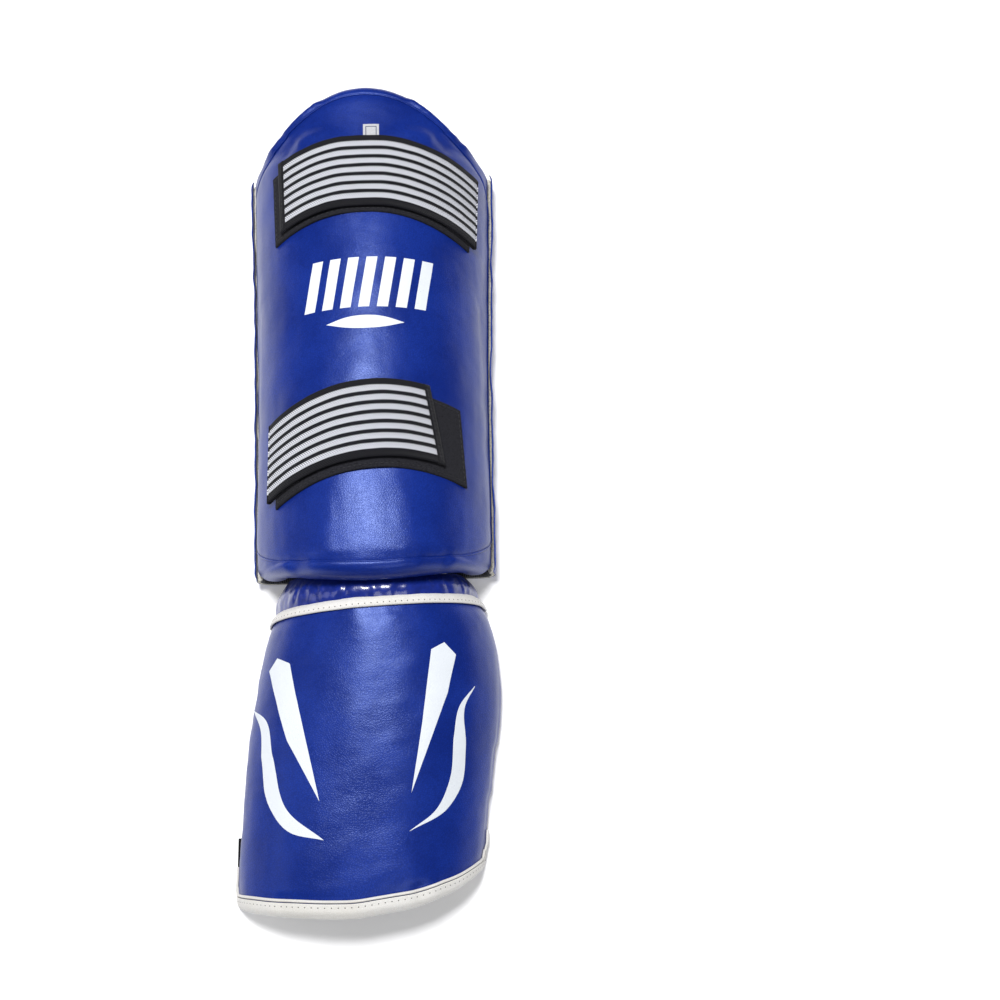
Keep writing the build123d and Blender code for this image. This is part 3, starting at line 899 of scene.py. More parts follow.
for side, side_name in ((1.0, "right"), (-1.0, "left")):
    for ply_name, head, near, far, material, slot in (
        ("wing_cover", wing_head, 0.0, 0.0012, blue_leather, "blue_pu"),
        ("wing_foam", wing_foam_head, 0.0013, 0.0067, soft_foam, "soft_foam"),
        ("wing_lining", wing_foam_head, 0.0068, 0.0080, lining_cloth, "lining"),
    ):
        lay_wing, wing_run = wing_place(side, head)
        wing_ply = make_slab(
            f"{side_name}_{ply_name}_cloth",
            lay_wing,
            rim_grid(-1, 1, 0.012, 0.004),
            rim_grid(0.0, wing_run, 0.0016, 0.0006),
            near,
            far,
            0.0006,
        )
        finish_piece(wing_ply, material, "shin")
        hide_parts(f"{side_name}_{ply_name}")

# ------------------------------------------------------------------ loop patches
# Two black patches of loop pile cross the front, sewn on through the face. The straps'
# hooks close on them, so they reach a little past the straps and below them.
webbing_width = 0.050
strap_bow, strap_span = 0.014, 0.065            # fall of a strap's ends at this distance
upper_centre, lower_centre = 0.197, 0.028       # of the straps, at the crown
upper_slope, lower_slope = 0.0, 0.10
loop_height = 0.0020


def arc_at(angle, y):
    """Arc from the crown of the spot seen from the spring line at this many degrees over +X."""
    width, rise = through(y, pad_stations, pad_half_widths), through(y, pad_stations, pad_rises)
    turn = math.radians(angle)
    return pad_radius * math.atan2(math.cos(turn) / float(width), math.sin(turn) / float(rise))


def band_place(centre, slope, drop, lean, lean_change):
    """Returns the function that lays a straight band across the pad, s its arc, t across it.

    Its middle runs at y = centre - drop + slope x - bow (x / span)^2, and the line
    across it leans by (lean + lean_change * s) of t. It bridges the face's small hollows.
    """

    def place(s, t, h):
        x = 0.081 * np.sin(s / pad_radius)
        y = centre - drop + slope * x - strap_bow * (x / strap_span) ** 2
        relief = read_grid(pad_swell, pad_arcs, pad_places, s, y) + 0.0004 * uneven(3, s, y, 0.11)
        return pad_base(s + (lean + lean_change * s) * t, y + t, h + relief)

    return place


def pile_cloth(name, color, cell):
    """Brushed loop pile: a mat of curled filaments, dull, with a pale rim where light grazes it; its raised
    curls carry a painted highlight.
    """
    material, tree, shader = start_material(name, color, 0.95)
    spot = tree.nodes.new("ShaderNodeTexCoord").outputs["Object"]
    curls = add_noise(tree, spot, 1 / cell, 4.0, 0.7)
    loops = tree.nodes.new("ShaderNodeTexVoronoi")
    loops.inputs["Scale"].default_value = 0.8 / cell
    tree.links.new(spot, loops.inputs["Vector"])
    height = do_math(tree, "ADD", curls, ramp_between(tree, loops.outputs["Distance"], 0.0, 0.6))
    # painted highlight: the raised curls and loops are painted paler than the ground
    light = tuple(2.4 * channel + 0.004 for channel in color)
    share = ramp_between(tree, height, 0.5, 1.5)
    tree.links.new(mix_colors(tree, share, color, light), shader.inputs["Base Color"])
    shader.inputs["Specular IOR Level"].default_value = 0.12
    shader.inputs["Sheen Weight"].default_value = 0.02
    shader.inputs["Sheen Roughness"].default_value = 0.6
    link_bump(tree, shader, height, 0.0003)
    return material


loop_pile = pile_cloth("black_loop_pile", (0.006, 0.006, 0.008), 0.0007)
black_thread, _, _ = start_material("black_thread", (0.012, 0.012, 0.016), 0.6)


def stitch_row(name, path, over, length, gap, radius):
    """Lockstitches along a path: small capsules, each 4 rings of 6 points, ends dipping in.

    path is the seam's points and over a point above each; stitches are length long and
    stand gap apart, evenly stretched over the whole path.
    """
    steps = np.linalg.norm(np.diff(path, axis=0), axis=1)
    run = np.concatenate([[0.0], np.cumsum(steps)])
    count = max(2, int(run[-1] / (length + gap)))
    pitch = run[-1] / count
    share = np.array([0.0, 0.18, 0.82, 1.0])
    along = (np.arange(count)[:, None] + 0.5) * pitch + (share - 0.5) * length
    at = np.stack([np.interp(along, run, path[:, k]) for k in range(3)], axis=-1)
    up = np.stack([np.interp(along, run, (over - path)[:, k]) for k in range(3)], axis=-1)
    up /= np.linalg.norm(up, axis=-1, keepdims=True)
    ahead = at[:, -1:] - at[:, :1]
    ahead /= np.linalg.norm(ahead, axis=-1, keepdims=True)
    beside = np.cross(np.broadcast_to(ahead, up.shape), up)
    width = radius * np.array([0.35, 1.0, 1.0, 0.35])
    sink = radius * np.array([-0.9, 0.15, 0.15, -0.9])
    centre = at + up * sink[None, :, None]
    angle = np.linspace(0, 2 * math.pi, 6, endpoint=False)
    ring = centre[:, :, None] + width[None, :, None, None] * (
        np.cos(angle)[:, None] * beside[:, :, None] + np.sin(angle)[:, None] * up[:, :, None]
    )
    points = ring.reshape(-1, 3)
    one = grid_quads(4, 6, closed=True)
    caps = np.array([[0, 1, 2, 3], [0, 3, 4, 5], [21, 20, 19, 18], [23, 22, 21, 18]])
    one = np.concatenate([one, caps])
    quads = (np.arange(count)[:, None, None] * 24 + one[None]).reshape(-1, 4)
    return make_piece(name, points, quads)


def flat_loop(s_low, s_high, t_low, t_high, step=0.002):
    """Points about step apart once round a rectangle of a band's flat grid, closed."""
    s_count = int((s_high - s_low) / step) + 2
    t_count = int((t_high - t_low) / step) + 2
    s_run, t_run = np.linspace(s_low, s_high, s_count), np.linspace(t_low, t_high, t_count)
    s = np.concatenate([s_run, np.full(t_count, s_high), s_run[::-1], np.full(t_count, s_low)])
    t = np.concatenate([np.full(s_count, t_low), t_run, np.full(s_count, t_high), t_run[::-1]])
    return s, t


patches = (
    ("upper_loop_patch", band_place(upper_centre, upper_slope, 0.003, 0.02, 0.8),
     arc_at(138, 0.186), arc_at(33.5, 0.186)),
    ("lower_loop_patch", band_place(lower_centre, lower_slope, 0.006, 0.0, -1.6),
     arc_at(136, 0.012), arc_at(41.5, 0.012)),
)
for patch_name, lay_patch, patch_low, patch_high in patches:
    patch = make_slab(
        patch_name + "_pile",
        lambda s, t, h, lay=lay_patch: lay(s, t, h + 0.00012 * uneven(31, s, t, 0.006)),
        rim_grid(patch_low, patch_high, 0.0012, 0.0009),
        rim_grid(-webbing_width / 2, webbing_width / 2, 0.0012, 0.0009),
        -0.0006,
        loop_height,
        0.0009,
    )
    finish_piece(patch, loop_pile, "shin")
    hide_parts(patch_name)
    row_s, row_t = flat_loop(patch_low + 0.0025, patch_high - 0.0025, -0.0225, 0.0225)
    row = stitch_row(
        patch_name + "_stitches", lay_patch(row_s, row_t, loop_height + 0.00005),
        lay_patch(row_s, row_t, 0.01), 0.0024, 0.0009, 0.00022,
    )
    finish_piece(row, black_thread, "shin")

# ------------------------------------------------------------------ striped straps
# Each strap is 50 mm elastic webbing, black with seven white twill stripes. It is sewn
# down over the patch, folds back over its own root, crosses the front and closes with
# hook tape under its free end, which a folded black tape binds.
tab_low, tab_high = 0.0021, 0.0034
web_low, web_high = 0.0038, 0.0056
hook_low, hook_high = 0.0023, 0.0037
fold_middle = (tab_low + tab_high + web_low + web_high) / 4
fold_radius = (web_low + web_high - tab_low - tab_high) / 4


def striped_webbing():
    """Elastic webbing: raised white stripes of slanted yarns between sunken black ribs.

    The stripes stand at 6.2 mm pitch across the flat map's second way, the first from
    3.5 mm below the upper edge, about 3.5 mm wide, each with its own twill.
    """
    material, tree, shader, yarns = woven_cloth(
        "striped_elastic", (0.5, 0.5, 0.5), 0.0013, 0.0062, 0.75, 0.0004, 0.05, 0.75
    )
    spot = tree.nodes["UV Map"].outputs["UV"]
    split = tree.nodes.new("ShaderNodeSeparateXYZ")
    tree.links.new(spot, split.inputs[0])
    wander = add_noise(tree, spot, 90.0, 2.0)
    across = do_math(tree, "ADD", split.outputs["Y"], do_math(tree, "MULTIPLY", wander, 0.0006))
    turned = do_math(tree, "DIVIDE", do_math(tree, "ADD", across, 0.0212), 0.0062)
    ridge = do_math(tree, "ABSOLUTE", do_math(tree, "SUBTRACT", do_math(tree, "FRACT", turned), 0.5))
    ridge = do_math(tree, "ADD", ridge, do_math(tree, "MULTIPLY", yarns.outputs["Height"], -0.07))
    stripe = ramp_between(tree, ridge, 0.225, 0.275, 1.0, 0.0)
    upper = ramp_between(tree, split.outputs["Y"], 0.0216, 0.0220, 1.0, 0.0)
    lower = ramp_between(tree, split.outputs["Y"], -0.0206, -0.0202)
    mask = do_math(tree, "MULTIPLY", do_math(tree, "MULTIPLY", stripe, upper), lower)
    # painted shade: both the white and the black darken between the yarns, the white down to a grey
    white = mix_colors(tree, yarns.outputs["Height"], (0.20, 0.21, 0.26), (0.84, 0.85, 0.90))
    black = mix_colors(tree, yarns.outputs["Height"], (0.003, 0.003, 0.004), (0.013, 0.013, 0.018))
    tree.links.new(mix_colors(tree, mask, black, white), shader.inputs["Base Color"])
    bump = shader.inputs["Normal"].links[0].from_node
    raised = do_math(tree, "ADD", yarns.outputs["Height"], do_math(tree, "MULTIPLY", mask, 0.8))
    tree.links.new(raised, bump.inputs["Height"])
    return material


webbing_cloth = striped_webbing()
black_webbing, _, _, _ = woven_cloth(
    "black_elastic", (0.011, 0.011, 0.015), 0.0010, 0.0021, 0.5, 0.0003, 0.1
)


def hook_cloth():
    """Hook tape: rows of moulded hooks, 1.3 mm apart, standing on a woven ground; the hooks carry a painted
    highlight and the ground between them painted shade.
    """
    material, tree, shader = start_material("black_hook_tape", (0.010, 0.010, 0.012), 0.5)
    spot = tree.nodes.new("ShaderNodeUVMap")
    spot.uv_map = "flat"
    hooks = tree.nodes.new("ShaderNodeTexVoronoi")
    hooks.inputs["Scale"].default_value = 770.0
    hooks.inputs["Randomness"].default_value = 0.25
    tree.links.new(spot.outputs["UV"], hooks.inputs["Vector"])
    height = ramp_between(tree, hooks.outputs["Distance"], 0.15, 0.45, 1.0, 0.0)
    # painted highlight and shade: paler on the raised hooks, nearly black on the ground between them
    tree.links.new(
        mix_colors(tree, height, (0.004, 0.004, 0.005), (0.03, 0.03, 0.034)),
        shader.inputs["Base Color"],
    )
    link_bump(tree, shader, height, 0.0006)
    return material


hook_pile = hook_cloth()

straps = (
    # name, laying function, the fold's arc, the free end's arc
    ("upper", band_place(upper_centre, upper_slope, 0.0, 0.0010, 0.50),
     arc_at(33, 0.185), arc_at(131, 0.187)),
    ("lower", band_place(lower_centre, lower_slope, 0.0, -0.10, -2.1),
     arc_at(139, 0.016), arc_at(58, 0.022)),
)
for strap_name, lay_strap, fold_arc, free_arc in straps:
    side = 1.0 if fold_arc > free_arc else -1.0
    body = strap_name + "_strap"
    tape_arc = free_arc + side * 0.0036

    def flat_run(start, end):
        """Arcs in rising order between two arcs of this strap."""
        return rim_grid(min(start, end), max(start, end), 0.0013, 0.0007)

    across = rim_grid(-webbing_width / 2, webbing_width / 2, 0.0012, 0.0008)

    def lay_web(s, t, h, lay=lay_strap, seed=41 if strap_name == "upper" else 42):
        """The strap's lie with a slight wave along its edges and over its length."""
        wave = 0.00018 * uneven(seed, s, t, 0.03) * (0.4 + (t / 0.025) ** 2)
        return lay(s, t, h + wave * np.clip((h - hook_low) / (web_high - hook_low), 0, 1))

    webbing = make_slab(
        body + "_elastic", lay_web, flat_run(tape_arc, fold_arc - side * 0.0004), across,
        web_low, web_high, 0.0007,
    )
    finish_piece(webbing, webbing_cloth, body)
    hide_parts(body + "_webbing")

    tab_end = fold_arc - side * 0.024
    tab = make_slab(
        body + "_root", lay_strap, flat_run(tab_end, fold_arc - side * 0.0002), across,
        tab_low, tab_high, 0.0006,
    )
    finish_piece(tab, webbing_cloth, "shin")
    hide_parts(body + "_tab")

    def lay_fold(u, t, g, lay=lay_strap, arc=fold_arc, way=side):
        """The U turn: u from 0 on the root, round a half circle, to 1 on the webbing."""
        angle = math.pi * (u / 0.004 - 0.5)
        half = (tab_high - tab_low) / 2 + (web_high - web_low - tab_high + tab_low) / 2 * u / 0.004
        radius = fold_radius + g * half
        return lay(arc + way * radius * np.cos(angle), t, fold_middle + radius * np.sin(angle))

    fold = make_slab(
        body + "_fold", lay_fold, rim_grid(0.0, 0.004, 0.0003, 0.0002), across, -1.0, 1.0, 0.0003
    )
    finish_piece(fold, webbing_cloth, None)
    crease = lay_strap(np.array(fold_arc), np.array(0.0), np.array([tab_high - 0.0008, web_low + 0.001]))
    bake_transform(fold)

    end_tape = make_slab(
        body + "_end_binding",
        lay_strap,
        rim_grid(*sorted((free_arc - side * 0.0004, tape_arc + side * 0.0004)), 0.0008, 0.0008),
        rim_grid(-0.0252, 0.0252, 0.0012, 0.0008),
        web_low - 0.0003, web_high + 0.0005, 0.0011,
    )
    finish_piece(end_tape, black_webbing, body)
    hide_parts(body + "_end_tape")

    hooks = make_slab(
        body + "_hooks", lay_strap, flat_run(tape_arc, free_arc + side * 0.052),
        rim_grid(-0.0235, 0.0235, 0.0016, 0.0006), hook_low, hook_high, 0.0006,
    )
    finish_piece(hooks, hook_pile, body)
    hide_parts(strap_name + "_hook_tape")

    row_t = np.linspace(-0.0225, 0.0225, 40)
    row_s = np.full(40, free_arc + side * 0.0024)
    row = stitch_row(
        body + "_end_stitches", lay_strap(row_s, row_t, web_high + 0.0005),
        lay_strap(row_s, row_t, 0.012), 0.0022, 0.0008, 0.0002,
    )
    finish_piece(row, black_thread, body)

# ------------------------------------------------------------------ size tag
# A small white woven tag stands out from under the upper strap at the crown. It is left
# blank apart from a thin woven frame line.
tag_half, tag_length, tag_aside = 0.005, 0.012, 0.0046
tag_centre = upper_centre + webbing_width / 2 + tag_length / 2


def tag_place(s, t, h):
    """Lays the tag's flat grid at the crown, its far end lifted by 0.4 mm."""
    lift = 0.0004 * (t / tag_length + 0.5) ** 2
    return pad_skin(s + tag_aside, tag_centre + t, h + lift)


tag_cloth, tag_tree, tag_shader, _ = woven_cloth(
    "woven_tag", (0.74, 0.75, 0.78), 0.0005, 0.0005, 0.0, 0.0001, 0.1
)
tag_split = tag_tree.nodes.new("ShaderNodeSeparateXYZ")
tag_tree.links.new(tag_tree.nodes["UV Map"].outputs["UV"], tag_split.inputs[0])
tag_sides = []
for way, half in (("X", tag_half), ("Y", tag_length / 2)):
    apart = do_math(tag_tree, "ABSOLUTE", tag_split.outputs[way])
    tag_sides.append(do_math(tag_tree, "SUBTRACT", half, apart))
tag_edge = do_math(tag_tree, "MINIMUM", *tag_sides)
tag_off = do_math(tag_tree, "ABSOLUTE", do_math(tag_tree, "SUBTRACT", tag_edge, 0.0018))
tag_line = ramp_between(tag_tree, tag_off, 0.0002, 0.00035, 1.0, 0.0)
tag_ground = tag_shader.inputs["Base Color"].links[0].from_socket
tag_tree.links.new(
    mix_colors(tag_tree, tag_line, tag_ground, (0.10, 0.11, 0.16)), tag_shader.inputs["Base Color"]
)
tag = make_slab(
    "size_tag_cloth", tag_place, rim_grid(-tag_half, tag_half, 0.0008, 0.0002),
    rim_grid(-tag_length / 2, tag_length / 2, 0.0008, 0.0002), 0.00005, 0.0005, 0.0002,
)
finish_piece(tag, tag_cloth, "shin")
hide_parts("size_tag")

# ------------------------------------------------------------------ printed ornament
# White ink, screen printed on the face: a plain row of slanted bars over a long lozenge,
# a generic pattern. The film is a tenth of a millimetre thick.


def print_ink(name, color):
    """Screen ink: even white with a few worn specks, a little of the grain showing through."""
    material, tree, shader = start_material(name, color, 0.5)
    spot = tree.nodes.new("ShaderNodeTexCoord").outputs["Object"]
    grain = place_group(tree, pebble_group, Vector=spot, Cell=0.0010)
    specks = add_noise(tree, spot, 900.0, 3.0, 0.6)
    worn = ramp_between(tree, specks, 0.68, 0.74)
    worn = do_math(tree, "MULTIPLY", worn, 0.5)
    tree.links.new(mix_colors(tree, worn, color, (0.25, 0.30, 0.55)), shader.inputs["Base Color"])
    link_bump(tree, shader, grain.outputs["Height"], 0.00006)
    return material


white_ink = print_ink("white_print_ink", (0.74, 0.78, 0.83))


def smooth_line(points, share):
    """Catmull-Rom curve through points, share from 0 to 1 by chord length; returns x and y."""
    points = np.asarray(points, float)
    chord = np.concatenate([[0.0], np.cumsum(np.linalg.norm(np.diff(points, axis=0), axis=1))])
    at = share * chord[-1]
    index = np.clip(np.searchsorted(chord, at, side="right") - 1, 0, len(points) - 2)
    slope = np.gradient(points, chord, axis=0)
    span = (chord[index + 1] - chord[index])[..., None]
    k = ((at - chord[index])[..., None]) / span
    blend = (
        (2 * k**3 - 3 * k**2 + 1) * points[index]
        + (k**3 - 2 * k**2 + k) * span * slope[index]
        + (3 * k**2 - 2 * k**3) * points[index + 1]
        + (k**3 - k**2) * span * slope[index + 1]
    )
    return blend[..., 0], blend[..., 1]


def straight_line(points, share):
    """The same through straight runs."""
    points = np.asarray(points, float)
    chord = np.concatenate([[0.0], np.cumsum(np.linalg.norm(np.diff(points, axis=0), axis=1))])
    return tuple(np.interp(share * chord[-1], chord, points[:, k]) for k in (0, 1))


def print_film(name, first, second, lay, body, curved=True, lift=0.00004):
    """An ink film between two edges that run the same way: u along them, v from one to the other."""

    def place(u, v, h):
        share, side = np.clip(u / 0.06, 0, 1), np.clip(v / 0.006, 0, 1)
        trace = smooth_line if curved else straight_line
        (x1, y1), (x2, y2) = trace(first, share), trace(second, share)
        return lay(x1 + side * (x2 - x1), y1 + side * (y2 - y1), h)

    film = make_slab(
        name, place, rim_grid(0.0, 0.06, 0.0006, 0.00006), rim_grid(0.0, 0.006, 0.0006, 0.00006),
        lift, lift + 0.00009, 0.00006,
    )
    finish_piece(film, white_ink, body)


def shin_print(x, y, h):
    """Point of the shin's face over (x, y) in plan."""
    width = through(y, pad_stations, pad_half_widths)
    return pad_skin(pad_radius * np.arcsin(x / width), y, h)


for number in range(7):
    foot = -0.0385 + 0.0115 * number
    slant, wide, low, high = 0.0055, 0.0068, 0.1035, 0.1375
    print_film(
        f"printed_bar_{number + 1}",
        ((foot, low), (foot + slant, high)),
        ((foot + wide, low), (foot + slant + wide, high)),
        shin_print, "shin", curved=False,
    )
print_film(
    "printed_lozenge",
    ((-0.024, 0.0935), (-0.012, 0.0968), (0.012, 0.0968), (0.024, 0.0935)),
    ((-0.024, 0.0933), (-0.012, 0.0900), (0.012, 0.0900), (0.024, 0.0933)),
    shin_print, "shin",
)

# ------------------------------------------------------------------ instep pad
# The foot piece: the same blue leather over an 8 mm foam, bent over the instep and
# splayed towards the toes. Its cover turns under the side edges and meets the lining.
foot_top = ankle_end - 0.007                    # top edge at the crown
foot_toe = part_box("instep_toe_binding")[0].y    # toe edge at the crown
foot_length = foot_top - foot_toe
foot_slant = math.tan(math.radians(3.5))        # of the top edge across the foot
foot_places = foot_top + np.array([0.016, -0.0376, -0.094, -0.200])
foot_middles = (0.001, 0.0015, -0.0044, -0.0108)    # of the half round, off the guard's middle
foot_half_widths = (0.062, 0.077, 0.0795, 0.0755)
foot_rises = (0.064, 0.060, 0.055, 0.045)
foot_radius = 0.066
foot_thick = 0.0112
foot_roll = 0.0025                              # of the side edges
foot_side = foot_radius * (math.pi / 2 - 0.030)


def foot_base(s, y, lift):
    """The instep pad's plain half round, as the shin pad's, its middle swept aside.

    x = middle + (a + lift) sin(s / R), z = (b + lift) cos(s / R), all following y.
    """
    turn = s / foot_radius
    middle = through(y, foot_places, foot_middles)
    x = middle + (through(y, foot_places, foot_half_widths) + lift) * np.sin(turn)
    z = (through(y, foot_places, foot_rises) + lift) * np.cos(turn)
    return np.stack(np.broadcast_arrays(x, y, z), axis=-1)


def foot_top_line(s):
    """Outline of the top edge: bowed towards the knee at the sides, and slanted."""
    x = 0.063 * np.sin(s / foot_radius)
    return foot_top + 0.004 * (x / 0.062) ** 2 + foot_slant * x


toe_line_middle = -0.012
toe_places = (-0.090, -0.084, -0.061, -0.032, -0.012, 0.025, 0.049, 0.067, 0.075)
toe_falls = (0.0090, 0.007, 0.003, 0.0005, 0.0, 0.005, 0.014, 0.028, 0.035)


def foot_toe_line(s):
    """Outline of the toe edge: its lowest place is left of the middle, the right side falls back."""
    x = foot_half_widths[3] * np.sin(s / foot_radius) + toe_line_middle
    shifts = np.linspace(-0.006, 0.006, 9)
    return foot_toe + sum(np.interp(x + shift, toe_places, toe_falls) for shift in shifts) / 9


foot_arcs = np.linspace(0.012 - foot_side, foot_side - 0.012, 40)
foot_shares = np.linspace(0.06, 0.94, 56)
foot_swell = np.zeros((40, 56))


def foot_share_place(s, share):
    """Place at a share of the way from the toe edge to the top edge."""
    return foot_toe_line(s) + share * (foot_top_line(s) - foot_toe_line(s))


foot_body = blank_body(
    "foot_body", foot_base, foot_side, foot_toe_line, foot_top_line, foot_thick, 0.0010
)
swell(foot_body, 0.005, 4.0, 0.005)
foot_swell = read_swell(
    foot_body, lambda s, q, h: foot_base(s, foot_share_place(s, q), h), foot_arcs, foot_shares
)
bpy.data.objects.remove(foot_body)


def foot_skin(s, y, lift):
    """The instep pad's real face at arc s and place y, raised by lift.

    The pad thins to 0.55 of its thickness over the last 16 mm to the bound edges and 8 mm
    to the sides, with the square root of a circle's law; swelling and hollows are added.
    """
    s, y, lift = np.broadcast_arrays(s, y, lift)
    low, high = foot_toe_line(s), foot_top_line(s)
    near = np.minimum(np.minimum(y - low, high - y) / 0.016, (foot_side - np.abs(s)) / 0.008)
    plump = 0.55 + 0.45 * np.sqrt(1 - (1 - np.clip(near, 0, 1)) ** 2)
    inside = np.clip(lift, -foot_thick, 0)
    level = -foot_thick / 2 + (inside + foot_thick / 2) * plump + (lift - inside)
    relief = read_grid(foot_swell, foot_arcs, foot_shares, s, (y - low) / (high - low))
    relief = relief + 0.0004 * uneven(8, s, y, 0.10) + 0.00012 * uneven(9, s, y, 0.03)
    return foot_base(s, y, level + relief * np.clip(1 + lift / foot_thick, 0, 1))


tape_hold = 0.0013            # the plies end this far inside the tapes' outlines
cover_turn = 0.0130           # of the cover round a side edge, flat


def foot_cover_place(s, t, h):
    """Lays the cover: over the foam, then round the side edges onto the lining.

    Past the side it follows arc = side + roll sin a, depth = half thickness (1 - cos a),
    a running to 0.85 pi over the turn; h is along the outward normal.
    """
    straight = foot_side - foot_roll
    angle = np.clip((np.abs(s) - straight) / cover_turn, 0, 1) * math.pi * 0.85
    over, deep = foot_roll * np.sin(angle), foot_thick / 2 * (1 - np.cos(angle))
    out, down = foot_thick / 2 * np.sin(angle), -foot_roll * np.cos(angle)
    size = np.hypot(out, down)
    arc = np.minimum(np.abs(s), straight) + over + h * out / size
    arc = arc * np.sign(s)
    inset = tape_hold
    low, high = foot_toe_line(arc) + inset, foot_top_line(arc) - inset
    y = low + t / foot_length * (high - low)
    return foot_skin(arc, y, h * -down / size - deep)


foot_cover = make_slab(
    "instep_cover_skin",
    foot_cover_place,
    rim_grid(-foot_side + foot_roll - cover_turn, foot_side - foot_roll + cover_turn, 0.0018, 0.0008),
    rim_grid(0.0, foot_length, 0.0018, 0.0008),
    -0.0015,
    0.0,
    0.0008,
)
finish_piece(foot_cover, blue_leather, "instep")
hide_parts("instep_cover")


def foot_ply_place(s, t, h):
    """Lays a ply inside the cover: s and t shares from -1 to 1 of the space it has."""
    arc = s * (foot_side - foot_roll - 0.0015)
    low, high = foot_toe_line(arc) + tape_hold, foot_top_line(arc) - tape_hold
    return foot_skin(arc, (low + high) / 2 + t * (high - low) / 2, h)


for ply_name, cad_name, top, bottom, material, slot, grid in (
    ("instep_foam_sheet", "instep_foam_core", -0.0017, -0.0096, firm_foam, "firm_foam", 0.05),
    ("instep_lining_cloth", "instep_lining", -0.0098, -0.0112, lining_cloth, "lining", 0.03),
):
    ply = make_slab(
        ply_name, foot_ply_place, rim_grid(-1, 1, grid, 0.008), rim_grid(-1, 1, grid / 1.5, 0.006),
        bottom, top, 0.012,
    )
    if slot == "lining":
        shares = np.zeros(len(ply.data.loops) * 2, np.float32)
        ply.data.uv_layers["flat"].data.foreach_get("uv", shares)
        shares = shares.reshape(-1, 2) * (foot_side, foot_length / 2)
        ply.data.uv_layers["flat"].data.foreach_set("uv", shares.astype(np.float32).ravel())
    finish_piece(ply, material, "instep")
    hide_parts(cad_name)

# ------------------------------------------------------------------ instep prints
# Four white blades are screen printed on the instep, two straight ones and two bent
# ones, curving down and in towards the toes.


def foot_print(x, y, h):
    """Point of the instep's face over (x, y) in plan."""
    aside = through(y, foot_places, foot_middles)
    width = through(y, foot_places, foot_half_widths)
    turn = np.arcsin(np.clip((x - aside) / width, -0.999, 0.999))
    return foot_skin(foot_radius * turn, y, h)


blades = {
    "left_blade": (
        ((-0.0640, -0.1145), (-0.0508, -0.1595), (-0.0315, -0.1962)),
        ((-0.0586, -0.1075), (-0.0500, -0.1125), (-0.0458, -0.1320), (-0.0315, -0.1962)),
    ),
    "right_blade": (
        ((0.0362, -0.1084), (0.0296, -0.1522), (0.0223, -0.1929)),
        ((0.0441, -0.1036), (0.0504, -0.1108), (0.0450, -0.1337), (0.0223, -0.1929)),
    ),
    "left_bent_blade": (
        ((-0.0757, -0.1360), (-0.0658, -0.1440), (-0.0598, -0.1682), (-0.0507, -0.2000),
         (-0.0292, -0.2183)),
        ((-0.0757, -0.1362), (-0.0695, -0.1479), (-0.0676, -0.1690), (-0.0625, -0.1961),
         (-0.0496, -0.2126), (-0.0292, -0.2185)),
    ),
    "right_bent_blade": (
        ((0.0612, -0.1289), (0.0551, -0.1410), (0.0545, -0.1650), (0.0512, -0.1880),
         (0.0425, -0.2020), (0.0209, -0.2149)),
        ((0.0610, -0.1287), (0.0515, -0.1420), (0.0478, -0.1588), (0.0446, -0.1847),
         (0.0363, -0.2024), (0.0209, -0.2147)),
    ),
}
for blade_name, (first_edge, second_edge) in blades.items():
    print_film(
        "printed_" + blade_name, first_edge, second_edge, foot_print, "instep",
        curved="bent" in blade_name,
    )

# ------------------------------------------------------------------ white bindings
# White coated tape is folded over the top edge and, wider, over the toe edge and up both
# corners. It is sewn through with a row of needle holes; a narrow cord-like roll of the
# same tape lies along the toe tape's inner border.


def white_tape(name):
    """Coated white tape: fine grain, painted shade darkening its creases to cream, a row of dark needle
    holes.

    The holes stand 3.5 mm apart along the flat map's first way, where its second way is
    4.2 mm from the outer fold, and each is 0.5 mm across.
    """
    material, tree, shader = start_material(name, (0.8, 0.79, 0.77), 0.42)
    spot = tree.nodes.new("ShaderNodeTexCoord").outputs["Object"]
    grain = place_group(tree, pebble_group, Vector=spot, Cell=0.0007)
    flat = tree.nodes.new("ShaderNodeUVMap")
    flat.uv_map = "flat"
    split = tree.nodes.new("ShaderNodeSeparateXYZ")
    tree.links.new(flat.outputs["UV"], split.inputs[0])
    tone = mix_colors(
        tree, ramp_between(tree, grain.outputs["Tone"], 0.3, 0.7), (0.84, 0.83, 0.82), (0.78, 0.76, 0.72)
    )
    along = do_math(tree, "FRACT", do_math(tree, "DIVIDE", split.outputs["X"], 0.0035))
    along = do_math(tree, "MULTIPLY", do_math(tree, "SUBTRACT", along, 0.5), 0.0035)
    across = do_math(tree, "SUBTRACT", do_math(tree, "ABSOLUTE", split.outputs["Y"]), 0.0062)
    square = do_math(tree, "ADD", do_math(tree, "POWER", along, 2.0), do_math(tree, "POWER", across, 2.0))
    hole = ramp_between(tree, do_math(tree, "SQRT", square), 0.00022, 0.0004, 1.0, 0.0)
    # painted shade: the grain's creases are darkened towards a dull cream
    crease = do_math(tree, "MULTIPLY", grain.outputs["Crease"], 0.25)
    ground = mix_colors(tree, crease, tone, (0.42, 0.39, 0.30))
    tree.links.new(mix_colors(tree, hole, ground, (0.05, 0.045, 0.03)), shader.inputs["Base Color"])
    height = do_math(tree, "SUBTRACT", grain.outputs["Height"], do_math(tree, "MULTIPLY", hole, 3.0))
    link_bump(tree, shader, height, 0.00008)
    return material


binding_tape = white_tape("white_coated_tape")


